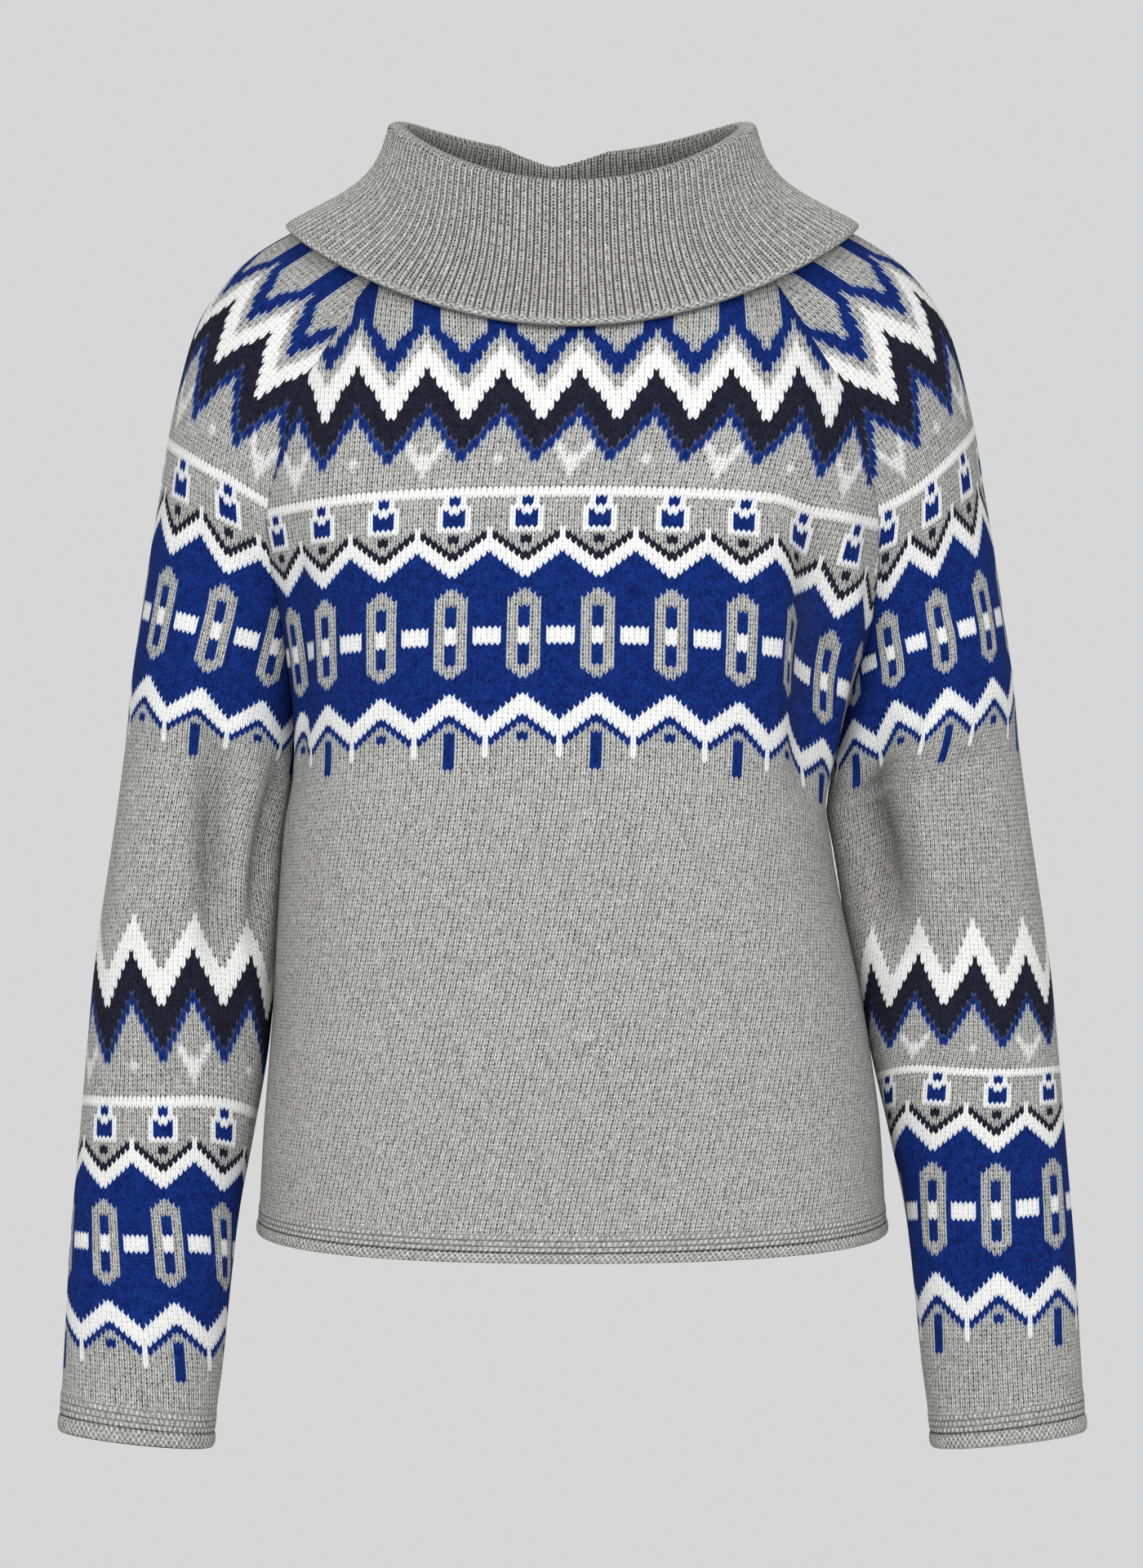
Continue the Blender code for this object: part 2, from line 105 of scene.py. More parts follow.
# Millimetres. mid_ is the panel's middle line, edge_ its seam on the wearer's left and
# turn how far the cloth has turned away at that seam, in degrees.
PANEL_COLUMNS = ("row", "mid_y", "mid_z", "edge_x", "edge_y", "edge_z", "turn")
FRONT = Table(
    PANEL_COLUMNS,
    (67, -98, -52, 96, -64, -36, 42),
    (60, -108, -65, 111, -70, -51, 42),
    (54, -114, -78.5, 123, -74, -68.5, 43),
    (48, -118, -92.5, 134, -76, -86.5, 44),
    (40, -121, -111.5, 147, -76, -107, 46),
    (33, -122.5, -128, 155, -74, -129, 48),
    (23, -124, -151, 163, -68, -158, 52),
    (16, -125, -167.5, 166.5, -61, -176.5, 56),
    (8, -125.5, -186, 166, -52, -195, 62),
    (0, -126, -203.5, 163.5, -43, -213.5, 68),
    (-10, -126, -226, 160, -34, -235.5, 75),
    (-18, -126, -244, 157.5, -26, -255, 80),
    (-33, -126, -277.5, 154.5, -12, -289, 87),
    (-48, -125.5, -311, 155, 0, -319.5, 90),
    (-60, -125, -337, 159.5, 0, -345, 90),
    (-75, -124, -369, 162, 0, -374, 90),
    (-92, -123, -404.5, 164, 0, -407.5, 90),
    (-110, -122, -441.5, 166, 0, -442.5, 90),
    (-128, -121, -478, 168.5, 0, -477, 90),
    (-146, -120, -514, 171, 0, -511, 90),
    (-164, -120, -549.5, 173, 0, -544, 90),
    (-178, -120.5, -579, 174.5, 0, -570.5, 90),
)
BACK = Table(
    PANEL_COLUMNS,
    (67, 78, -20, 94, 58, -10, 42),
    (60, 91, -31, 109, 68, -27, 42),
    (54, 99, -43.5, 121.5, 73, -45, 43),
    (48, 104.5, -58, 132.5, 76, -64, 44),
    (40, 109, -78.5, 145.5, 77, -87.5, 46),
    (33, 111.5, -97.5, 154, 75, -109, 48),
    (23, 113.5, -125.5, 162, 69, -141, 52),
    (16, 114, -145.5, 165.5, 62, -162, 56),
    (8, 114, -168, 165, 53, -184, 62),
    (0, 113.5, -190.5, 163, 44, -205.5, 68),
    (-10, 112.5, -217.5, 160, 35, -230, 75),
    (-18, 112, -238, 157.5, 26, -251, 80),
    (-33, 111, -275, 154.5, 12, -287, 87),
    (-48, 110.5, -311, 155, 0, -319.5, 90),
    (-60, 110.5, -337, 159.5, 0, -345, 90),
    (-75, 111, -369, 162, 0, -374, 90),
    (-92, 112, -404.5, 164, 0, -407.5, 90),
    (-110, 113, -441.5, 166, 0, -442.5, 90),
    (-128, 114, -478, 168.5, 0, -477, 90),
    (-146, 115, -514, 171, 0, -511, 90),
    (-164, 116, -549.5, 173, 0, -544, 90),
    (-178, 116.5, -577, 174.5, 0, -570.5, 90),
)
# outer_ is the sleeve's line over the shoulder and down the arm, inner_ its underarm line,
# start the angle at which the cloth leaves the raglan seam and depth half its thickness.
SLEEVE = Table(
    ("row", "outer_x", "outer_y", "outer_z", "inner_x", "inner_y", "inner_z", "start", "depth"),
    (67, 114, 4, 0, 156, 0, -319.5, 50, 46),
    (60, 146, 4, -11, 156, 0, -319.5, 49, 46),
    (54, 169, 4, -23, 156, 0, -319.5, 48, 46),
    (48, 186.5, 4, -36.5, 156, 0, -319.5, 49, 46),
    (40, 203.5, 3, -58.5, 156, 0, -319.5, 52, 46),
    (33, 212, 3, -78, 156, 0, -319.5, 58, 46),
    (23, 221, 2, -113.5, 156, 0, -319.5, 70, 46),
    (16, 225.5, 2, -135.5, 156, 0, -319.5, 82, 46),
    (8, 229, 1, -159, 156, 0, -319.5, 96, 46),
    (0, 233, 1, -182, 156, 0, -319.5, 110, 46),
    (-10, 237, 0, -208.5, 156, 0, -319.5, 128, 46),
    (-18, 240, 0, -228, 156, 0, -319.5, 142, 46),
    (-33, 245.5, 0, -264.5, 156, 0, -319.5, 163, 46),
    (-48, 249, 0, -301, 156, 0, -319.5, 180, 46),
    (-64, 254, -1, -339.5, 161.8, -1, -358.5, 180, 45),
    (-80, 259.5, -2, -378, 164.4, -2, -396.5, 180, 43.5),
    (-96, 264.5, -3, -416, 166.8, -3, -434.5, 180, 42.5),
    (-112, 268.5, -4, -454.5, 170, -4, -472.5, 180, 41),
    (-130, 273, -6, -498, 176.5, -6, -515, 180, 39),
    (-148, 276.5, -8, -541.5, 184.5, -8, -558, 180, 37),
    (-166, 279.5, -10, -585, 189.5, -10, -600.5, 180, 35),
    (-184, 281.5, -12, -628, 193.5, -12, -642, 180, 33),
    (-196, 283, -13, -657, 197, -13, -669, 180, 32),
    (-205, 284, -14, -680, 199.5, -14, -689.5, 180, 32),
)
# How far the left armhole hangs lower, and further in, than the right: the panels' seam
# and the sleeve's inner line.
LEAN = Table(
    ("row", "edge_x", "z", "inner_x"),
    (24, 0, 0, 0),
    (12, 1, -1.5, 0),
    (0, 3, -5, 0),
    (-10, 3, -8, 0),
    (-18, -1, -10, 0),
    (-33, -7, -12.5, 0),
    (-48, -14, -14, -14),
    (-60, -16, -10, -14.5),
    (-75, -14.5, -6, -12),
    (-92, -10, -3, -7),
    (-110, -5, -1, -3),
    (-128, -2, 0, -1),
    (-146, 0, 0, 0),
    (-178, 0, 0, 0),
)
# The folds: where they lie across a piece as shares of its half width, the rows they run
# through, and their half width and depth in millimetres. A ridge has a depth below zero.
FOLD_COLUMNS = ("piece", "side", "top", "bottom", "upper", "lower", "width", "depth")
FOLDS = (
    ("front", 1, 0.70, 0.67, 26, -54, 20, 14.5),
    ("front", 1, 0.86, 0.84, 16, -56, 11, -4.0),
    ("front", -1, 0.84, 0.80, 18, -58, 10, 4.0),
    ("back", 1, 0.80, 0.74, 14, -58, 12, 5.0),
    ("back", -1, 0.78, 0.76, 10, -60, 12, 5.0),
    ("sleeve", 1, -0.52, -0.66, 10, -52, 10, 3.5),
    ("sleeve", 1, -0.76, -0.73, -26, -94, 25, 21.0),
    ("sleeve", 1, -0.55, -0.55, -36, -90, 9, -2.5),
    ("sleeve", 1, -1.0, -1.0, -40, -128, 14, -2.0),
    ("sleeve", 1, 0.54, 0.62, 12, -56, 11, 4.0),
    ("sleeve", -1, -0.56, -0.62, 14, -60, 10, 3.5),
    ("sleeve", -1, -0.50, -0.66, -34, -98, 15, 17.0),
    ("sleeve", -1, -0.84, -0.80, -40, -92, 12, 9.0),
    ("sleeve", -1, -1.0, -1.0, -40, -128, 14, -1.5),
    ("sleeve", -1, 0.56, 0.60, 8, -58, 11, 4.0),
    *((piece, side, 1.0, 1.0, -46, -124, 14, -0.5) for piece in ("front", "back") for side in (1, -1)),
)
# The folds' painted shade grows with their depth
DEEP_FOLD = 20 * MM  # a fold of this depth is fully shaded

# How the stitches lie on each piece. stitch is a stitch's width and middle the place of
# the repeat's reference stitch, both in millimetres round the section. lift is how many
# rows higher than their section the knitted rows stand there, and tilt how that changes
# for each stitch towards the wearer's left, or towards the back on a sleeve. droop is
# how many rows lower they hang beside the seam at the wearer's left, and gather how many
# millimetres the stitches there are drawn in.
FRONT_GAUGE = Table(
    ("row", "stitch", "middle", "droop", "gather"),
    (67, 3.3, 5, 0, 0),
    (43, 3.15, 4, 0, 0),
    (35, 3.13, 4.1, 0.5, 0),
    (16, 3.02, -3.5, 2, 3),
    (12, 3.0, -4.7, 3, 4),
    (-4, 3.02, -5.6, 4.5, 10),
    (-17, 3.04, -6.3, 4.5, 12),
    (-33, 3.045, -6.9, 3, 4),
    (-48, 3.05, -7.5, 1.5, -6),
    (-60, 3.05, -10.5, 0, 0),
    (-100, 3.05, -27, 0, 0),
    (-178, 3.05, -63, 0, 0),
)
BACK_GAUGE = Table(("row", "stitch"), (67, 3.3), (35, 3.13), (-17, 3.04), (-178, 3.05))
SLEEVE_GAUGE_COLUMNS = ("row", "stitch", "middle", "lift", "tilt")
RIGHT_GAUGE = Table(
    SLEEVE_GAUGE_COLUMNS,
    (67, 3.2, -98, 0, 0),
    (44, 3.0, -94, -0.4, 0.05),
    (33, 2.93, -87.7, 0.5, 0.036),
    (24, 2.85, -80.4, 1.0, -0.04),
    (14, 2.92, -79.0, 2.2, -0.07),
    (-17, 2.77, -72.5, 2.2, -0.07),
    (-46, 2.76, -68, 2.4, -0.10),
    (-85, 2.74, -61.7, 1.0, -0.25),
    (-105, 2.66, -65.6, 0.3, -0.24),
    (-117, 2.64, -68.2, -0.5, -0.24),
    (-127, 2.70, -69, -1.6, -0.20),
    (-145, 2.68, -71.7, -0.5, -0.22),
    (-159, 2.78, -76.4, 1.0, -0.20),
    (-186, 2.94, -84.7, 1.5, -0.12),
    (-205, 2.95, -88, 0, 0),
)
LEFT_GAUGE = Table(
    SLEEVE_GAUGE_COLUMNS,
    (67, 3.4, -94, 0, 0),
    (43, 3.40, -89.8, -2.0, 0.18),
    (33, 3.0, -82.8, -1.0, 0.11),
    (23, 2.46, -73.5, 0, 0.10),
    (14, 2.28, -69.0, 1.0, 0.11),
    (-17, 2.39, -67.2, 2.0, -0.13),
    (-32, 2.36, -71.4, 4.0, -0.17),
    (-47, 2.38, -74.2, 4.0, -0.18),
    (-91, 2.40, -82.5, -0.5, -0.25),
    (-103, 2.5, -87.0, 0.5, -0.25),
    (-115, 2.55, -89.0, 3.0, -0.25),
    (-125, 2.6, -93.3, 6.0, -0.26),
    (-156.5, 2.8, -100.4, 8.0, -0.19),
    (-184, 2.72, -100.5, 6.8, -0.15),
    (-211, 2.75, -100.5, 6.0, 0),
)
PANEL_STITCHES = (-80.0, 101.0)
SLEEVE_STITCHES = (-66.0, 78.0)
SLEEVE_MIDDLE_STITCH = -19.5
ARM_ROW = -66  # the arms' bands begin below this row
TILT_STITCHES = 24  # a sleeve's rows stop rising or falling about this far from its middle

# Height of the turned edge in millimetres, in a piece's middle and what its sides add
HEM_ROLL = (6.0, 2.8)
CUFF_ROLL = (8.6, 0.0)
RIDGE_HEIGHT = 3.5  # of each of the three purl ridges above it
SLEEVE_SPLIT = -0.5  # a height between a sleeve's neck end and its cuff

# The collar's rings in millimetres: half width, reach to the front and to the back, and
# height at the front, sides and back.
RING_COLUMNS = ("half_width", "front", "back", "z_front", "z_side", "z_back")
FOLD_RING = dict(zip(RING_COLUMNS, (97.5, 89, 80, 3, 44.5, 37)))
FREE_EDGE = dict(zip(RING_COLUMNS, (157, 129, 118, -78.5, -15, -46)))
COLUMNS_PER_RIB = 6
COLLAR_ROWS = 80
HIDDEN_ROWS = 14
CAST_OFF_ROWS = 2.2
RIB_CROWDING = 0.12
COLLAR_EXTRA = 0.4 * MM  # by which the collar's wall is thicker
NOTCH_DEPTH = 9.0 * MM
NOTCH_ANGLE = math.radians(19)
NOTCH_AT = math.radians(-173.5)
FOLD_GAP = 2.4 * MM
SETTLE = 9.0 * MM  # the most that the free edge is let in
CLEARANCE = 4.5 * MM  # between the free edge and what it lies over
RAY_START = 60 * MM
RAY_LENGTH = 160 * MM


def length_setting(name, description, default, low, high):
    """A length that the panel can change."""
    return bpy.props.FloatProperty(
        name=name, description=description, default=default, min=low, max=high, unit="LENGTH"
    )


def colour_setting(name, description, default):
    """A colour that the panel can change."""
    return bpy.props.FloatVectorProperty(
        name=name, description=description, default=default, size=3, min=0.0, max=1.0, subtype="COLOR"
    )


class JumperSizes(bpy.types.PropertyGroup):
    """Sizes of the cloth and its stitches."""

    wall: length_setting("Cloth thickness", "Thickness of the knitted cloth", 3.0 * MM, 1.0 * MM, 5.0 * MM)
    lean: bpy.props.FloatProperty(
        name="Stitch lean",
        description="How far a stitch's sides stand above its middle, in rows",
        default=0.78,
        min=0.0,
        max=1.5,
        subtype="FACTOR",
    )
    relief: length_setting("Stitch relief", "Height of the stitches in the surface", 0.9 * MM, 0.0, 2.0 * MM)
    ribs: bpy.props.IntProperty(
        name="Collar ribs", description="Ribs round the collar", default=160, min=60, max=200
    )
    rib_depth: length_setting("Rib depth", "How far the collar's ribs stand out", 1.9 * MM, 0.0, 3.0 * MM)


class JumperYarns(bpy.types.PropertyGroup):
    """Colours of the yarns."""

    grey_light: colour_setting("Grey marl, light strand", "Light strand of the marl", (0.73, 0.73, 0.705))
    grey_dark: colour_setting("Grey marl, dark strand", "Dark strand of the marl", (0.19, 0.188, 0.182))
    white: colour_setting("White", "White yarn", (0.76, 0.765, 0.75))
    navy: colour_setting("Navy", "Navy yarn", (0.0085, 0.009, 0.0185))
    royal: colour_setting("Royal blue", "Royal blue yarn", (0.0030, 0.0150, 0.118))
    halo: colour_setting("Halo", "Tint of pale fibres beside the royal blue", (0.22, 0.34, 0.62))
    shadow: colour_setting("Gap shade", "Shade seen between the stitches", (0.030, 0.029, 0.027))


class JumperStage(bpy.types.PropertyGroup):
    """Light and background."""

    backdrop: colour_setting("Backdrop", "Colour of the studio round the jumper", (0.68, 0.68, 0.68))
    key_power: bpy.props.FloatProperty(
        name="Key light",
        description="Power of the large light at the front",
        default=47.0,
        min=0.0,
        unit="POWER",
    )
    lens: bpy.props.FloatProperty(
        name="Lens",
        description="Focal length of the camera",
        default=123.8 * MM,
        min=10 * MM,
        unit="CAMERA",
    )


# The cloth's sections


def unit(vectors):
    """The vectors' directions."""
    return vectors / np.maximum(np.linalg.norm(vectors, axis=-1, keepdims=True), 1e-12)


def soft_step(value):
    """Runs smoothly from 0 to 1 as the value does."""
    return eased(np.clip(value, 0, 1), 0, 1, 0, 0)


def cubic(t, a, b, c, d):
    """The cubic curve with these control points, at t from 0 to 1."""
    s = 1 - t
    return s**3 * a + 3 * s * s * t * b + 3 * s * t * t * c + t**3 * d


def lengths_along(lines):
    """How far each point of each line is from the line's start."""
    steps = np.linalg.norm(np.diff(lines[:, :, :3], axis=1), axis=2)
    return np.concatenate([np.zeros((len(lines), 1)), np.cumsum(steps, axis=1)], axis=1)


def evenly(lines, count=None):
    """The lines with evenly spread points. What a point has beside its place goes with it."""
    count = count or lines.shape[1]
    spread = np.empty((len(lines), count, lines.shape[2]))
    for result, length, line in zip(spread, lengths_along(lines), lines):
        places = np.linspace(0, length[-1], count)
        for index, column in enumerate(line.T):
            result[:, index] = np.interp(places, length, column)
    return spread


def section_curves(*controls):
    """The sections' curves with these control points, one for each row."""
    t = np.linspace(0, 1, SECTION_STEPS + 1)[None, :, None]
    return evenly(cubic(t, *(points[:, None] for points in controls)))


def hung_points(table, prefix, rows, side):
    """A seam's or inner line's points: side is 1 at the wearer's left and -1 at the right."""
    points = table.point(rows, prefix)
    if side > 0:
        points[:, 0] += LEAN.at(rows, prefix + "x") * MM
        points[:, 2] += LEAN.at(rows, "z") * MM
    return points


def panel_half(table, rows, side):
    """Half of each front or back section, from its middle line to one seam."""
    middle, edge = table.point(rows, "mid_"), hung_points(table, "edge_", rows, side)
    turn = np.radians(table.at(rows, "turn"))
    inwards = 1 if middle[0, 1] < 0 else -1
    shoulder = np.stack([0.69 * edge[:, 0], middle[:, 1], middle[:, 2]], -1)
    arriving = np.stack([np.cos(turn), inwards * np.sin(turn), np.zeros_like(turn)], -1)
    hip = edge - arriving * 0.6 * np.linalg.norm(edge - shoulder, axis=1)[:, None]
    hip[:, 2] = middle[:, 2] + 0.6 * (edge[:, 2] - middle[:, 2])
    return section_curves(middle, shoulder, hip, edge) * (side, 1, 1)


def sleeve_half(rows, is_front, side):
    """Half of each sleeve section, from its outer line to its front or back seam."""
    outer, inner = SLEEVE.point(rows, "outer_"), hung_points(SLEEVE, "inner_", rows, side)
    underarm = hung_points(SLEEVE, "inner_", np.array([UNDERARM_ROW]), side)
    above = (rows - UNDERARM_ROW)[:, None]
    closing = 1 - np.clip(above / 8, 0, 1)
    opening = np.clip(above / 15, 0, 1)
    seams = []
    for table in (FRONT, BACK):
        edge = hung_points(table, "edge_", rows, side)
        end = hung_points(table, "edge_", np.array([UNDERARM_ROW + 1e-6]), side)
        seams.append(np.where(above > 0, edge + (underarm - end) * closing, inner))
    front, back = seams
    half_chord = np.linalg.norm(back - front, axis=1)[:, None] / 2
    along = unit(np.array((0.0, 1.0, 0.0)) * (1 - opening) + unit(back - front) * opening)
    outwards = outer - (front + back) / 2
    outwards -= along * np.sum(outwards * along, axis=1)[:, None]
    height = np.linalg.norm(outwards, axis=1)[:, None]
    outwards /= height
    arc = 2 * np.arctan2(height, half_chord)
    round_handle = 4 / 3 * np.tan(arc / 4) * (half_chord**2 + height**2) / (2 * height)
    flat_handle = 4 / 3 * SLEEVE.at(rows, "depth")[:, None] * MM
    handle = flat_handle + (round_handle - flat_handle) * opening
    start = np.radians(SLEEVE.at(rows, "start"))[:, None]
    seam, facing = (front, 1) if is_front else (back, -1)
    leaving = along * facing * np.cos(start) + outwards * np.sin(start)
    controls = (outer, outer - along * facing * handle, seam + leaving * handle, seam)
    return section_curves(*controls) * (side, 1, 1)


def fold_depth(piece, side, across, rows, half_width):
    """How far the folds push a piece's surface in."""
    depth = np.zeros_like(across)
    for values in FOLDS:
        fold = dict(zip(FOLD_COLUMNS, values))
        if fold["piece"] != piece or (piece == "sleeve" and fold["side"] != side):
            continue
        down = np.clip((fold["upper"] - rows) / (fold["upper"] - fold["lower"]), 0, 1)
        centre = fold["top"] + (fold["bottom"] - fold["top"]) * down
        if piece == "sleeve":
            away = (across - centre + 1) % 2 - 1  # the folds run on over the inner line
        else:
            away = across - fold["side"] * centre
        away = away * half_width / (fold["width"] * MM)
        depth += fold["depth"] * MM * np.sin(math.pi * down) * np.exp(-away * away)
    return depth


def unevenness(across, rows, seed):
    """The slight waves of a hanging knit, in metres."""
    waves = np.zeros_like(across)
    for number, (crests, drift, height) in enumerate(((2.6, 70, 0.7), (4.7, 44, 0.45), (8.3, 31, 0.22))):
        phase = seed * 1.7 + number * 2.1
        rising = np.sin(crests * across + rows / drift * 2.2 + phase)
        waves += height * rising * np.cos(rows / drift * 1.9 - 1.3 * crests * across + phase)
    return waves * MM


class Cloth:
    """A piece's outer surface, laid through its sections."""

    def __init__(self, piece, side, last_row, half_of, seed):
        self.rows = np.arange(last_row, NECK_ROW + ROW_STEP / 2, ROW_STEP)
        before, after = (half_of(self.rows, end) for end in (-1, 1))
        points = np.concatenate([before[:, ::-1], after[:, 1:]], axis=1)
        across, rows = np.meshgrid(np.linspace(-1, 1, points.shape[1]), self.rows)
        closed = (self.rows <= UNDERARM_ROW) & (piece == "sleeve")
        width = lengths_along(before)[:, -1:] * (1.3 if piece == "sleeve" else 1.1)
        depth = fold_depth(piece, side, across, rows, width)
        calm = np.clip((1 - np.abs(across)) * 8, 0, 1)
        calm *= np.clip((rows - last_row) / 12, 0, 1) * np.clip((NECK_ROW - rows) / 12, 0, 1)
        pushed = unevenness(across, rows, seed) * calm - depth
        points += self.outward(points, side, closed) * pushed[:, :, None]
        # painted shade in the deep folds
        shade = np.clip(depth / DEEP_FOLD, 0, 1) ** 2
        points = np.concatenate([points, shade[:, :, None]], axis=2)
        halves = points[:, SECTION_STEPS::-1], points[:, SECTION_STEPS:]
        self.reaches = [lengths_along(half)[:, -1] for half in halves]
        before, after = (evenly(half) for half in halves)
        points = np.concatenate([before[:, :0:-1], after], axis=1)
        self.grid = np.concatenate([points, self.outward(points[:, :, :3], side, closed)], axis=2)

    @staticmethod
    def outward(points, side, closed):
        """The outward direction at every sampled point. Closed rows meet at their ends."""
        normal = unit(np.cross(np.gradient(points, axis=1), np.gradient(points, axis=0))) * side
        normal[closed, 0] = normal[closed, -1] = unit(normal[closed, 0] + normal[closed, -1])
        return normal

    def reach(self, distance, row):
        """How far a section runs from its middle line, on the side where a distance lies."""
        before, after = (np.interp(row, self.rows, reach) for reach in self.reaches)
        return np.where(distance > 0, after, before)

    def read(self, share, row):
        """Place, outward direction and fold's painted shade at a share of the section's half length."""
        y = np.clip((row - self.rows[0]) / ROW_STEP, 0, len(self.rows) - 1.001)
        x = np.clip((share + 1) * SECTION_STEPS, 0, 2 * SECTION_STEPS - 0.001)
        low_y, low_x = y.astype(int), x.astype(int)
        part_y, part_x = (y - low_y)[:, None], (x - low_x)[:, None]
        lower, upper = (
            self.grid[line, low_x] * (1 - part_x) + self.grid[line, low_x + 1] * part_x
            for line in (low_y, low_y + 1)
        )
        values = lower * (1 - part_y) + upper * part_y
        return values[:, :3], unit(values[:, 4:]), values[:, 3]


# The knitting chart. A yarn is a share of white, navy and royal over the grey marl.

GREY, WHITE, NAVY, ROYAL = (0, 0, 0), (1, 0, 0), (0, 1, 0), (0, 0, 1)
PALE_GREY, BRUSHED, FLECKED = (0.30, 0, 0), (0.64, 0, 0), (0.70, 0, 0)
SOFT_BLUE = (0, 0.1, 0.9)
YARN_OF = {"W": WHITE, "N": NAVY, "R": ROYAL, "P": PALE_GREY, ".": None}
# Stitches 4 to 9 of the repeat, by row. A link's row also stands for those below it, down to
# the next one.
LANTERN = {
    14: ".WRRW.",
    13: ".WRRW.",
    12: "WWWWWW",
    11: "WRWWRW",
    10: "WRRRRW",
    9: "WRRRRW",
    8: "WRRRRW",
    7: "WWWWWW",
    5: "..NN..",
    4: "..NN..",
}
LINK = {
    -8: "..PP..",
    -9: ".PPPP.",
    -10: "PPPPPP",
    -12: "PPRRPP",
    -17: "PPWWPP",
    -21: "PPRRPP",
    -26: "PPPPPP",
    -27: ".PPPP.",
    -28: "..PP..",
}
# The brushed marks between the peaks, wide and small ones by turns: the stitches from their
# middle at which they start and end, by row
SPRIGS = (
    {
        19: (0, 0), 20: (0, 0), 21: (0, 1), 22: (0, 1), 23: (0, 2),
        24: (0, 2), 25: (2, 3), 26: (2, 3), 27: (3, 3),
    },
    {22: (0, 0), 23: (0, 1), 24: (0, 0)},
)


def from_middle(stitch):
    """Stitches between a stitch and the middle pair of its repeat."""
    place = stitch % REPEAT
    return 6 - place if place <= 6 else place - 7


def motif_yarn(line, place):
    """The yarn at a place in a small motif's row, or None outside it."""
    return YARN_OF[line[place - 4]] if line and 4 <= place <= 9 else None


def band_yarn(row, bands):
    """The yarn of a stack of bands, given as (lowest row, yarn) from the top down."""
    return next((yarn for lowest, yarn in bands if row >= lowest), None)


def upper_chart(stitch, row, bands):
    """The chart's peaks and the marks between them."""
    valley = math.floor(stitch / REPEAT + 0.5)
    start, end = SPRIGS[valley % 2].get(row, (1, 0))
    marked = start <= abs(stitch - valley * REPEAT) <= end
    return band_yarn(row, bands) or (BRUSHED if marked else GREY)


def lower_chart(stitch, row):
    """The chart from the white line down to the drops below the royal field."""
    place, away = stitch % REPEAT, from_middle(stitch)
    if row >= LINE_ROW - 1:
        return FLECKED
    wave = ((away + 2, GREY), (away, NAVY), (away - 4, WHITE)) if place else ((8, GREY), (2, WHITE))
    yarn = motif_yarn(LANTERN.get(row), place) or band_yarn(row, wave)
    if not yarn and row > -33 - away:
        if -28 <= row <= -8:
            yarn = motif_yarn(LINK[min(first for first in LINK if first >= row)], place)
        in_bar = -20 <= row <= -17 and place in (11, 12, 0, 1, 2)
        return yarn or (FLECKED if in_bar else ROYAL)
    if not yarn:
        yarn = band_yarn(row, ((-37 - away, WHITE), (-39 - away, ROYAL)) if place else ((-47, WHITE),))
    in_drop = row in (-42, -43) or (stitch // REPEAT % 2 == 0 and -50 <= row <= -42)
    return yarn or (ROYAL if place in (6, 7) and in_drop else GREY)


def yoke_yarn(stitch, row):
    """The yarn of one stitch of the yoke."""
    if row <= LINE_ROW:
        return lower_chart(stitch, row)
    away = from_middle(stitch)
    outline, navy_top, royal_low, petal = (
        lowest + round(away / 6 * rise) for lowest, rise in ((23, 10), (33, 11), (43, 10), (48, 9))
    )
    in_petal = away <= (3 if row < 60 else 2)
    bands = (
        (petal if in_petal else NECK_ROW + 1, GREY),
        (royal_low, ROYAL),
        (royal_low - 2, GREY),
        (royal_low - 3, (0.25, 0, 0)),
        (royal_low - 4, (0.6, 0, 0)),
        (navy_top, WHITE),
        (outline + 3, NAVY),
        (outline, SOFT_BLUE),
    )
    return upper_chart(stitch, row, bands)


def arm_yarn(stitch, row):
    """The yarn of one stitch of the lower arm, whose rows are counted as on the yoke."""
    if row <= LINE_ROW:
        return lower_chart(stitch, row)
    rise = 2 * from_middle(stitch)
    bands = ((44 + rise, GREY), (36 + rise, WHITE), (27 + rise, NAVY), (24 + rise, SOFT_BLUE))
    return upper_chart(stitch, row, bands)


def edge_relief(height, roll):
    """Relief, painted groove shade, plain and ridge shares at a height above the edge, in millimetres."""
    inside = np.clip(height / roll, 0, 1)
    bulge = 1.3 * np.sqrt(np.clip(1 - (2 * inside - 1) ** 2, 0, 1))
    ridge = (height - roll) / RIDGE_HEIGHT
    wave = np.where((ridge > 0) & (ridge < 3), 0.55 * np.sin(math.pi * (ridge % 1.0)) ** 0.7, 0.0)
    line = np.exp(-(((height - roll) / 0.45) ** 2))
    relief = np.where(height < roll, bulge, wave) - 0.9 * line
    plain = np.clip(roll + 3 * RIDGE_HEIGHT + 1.0 - height, 0, 1)
    return relief * MM, line, plain, np.clip((ridge + 1) / 8, 0, 1)


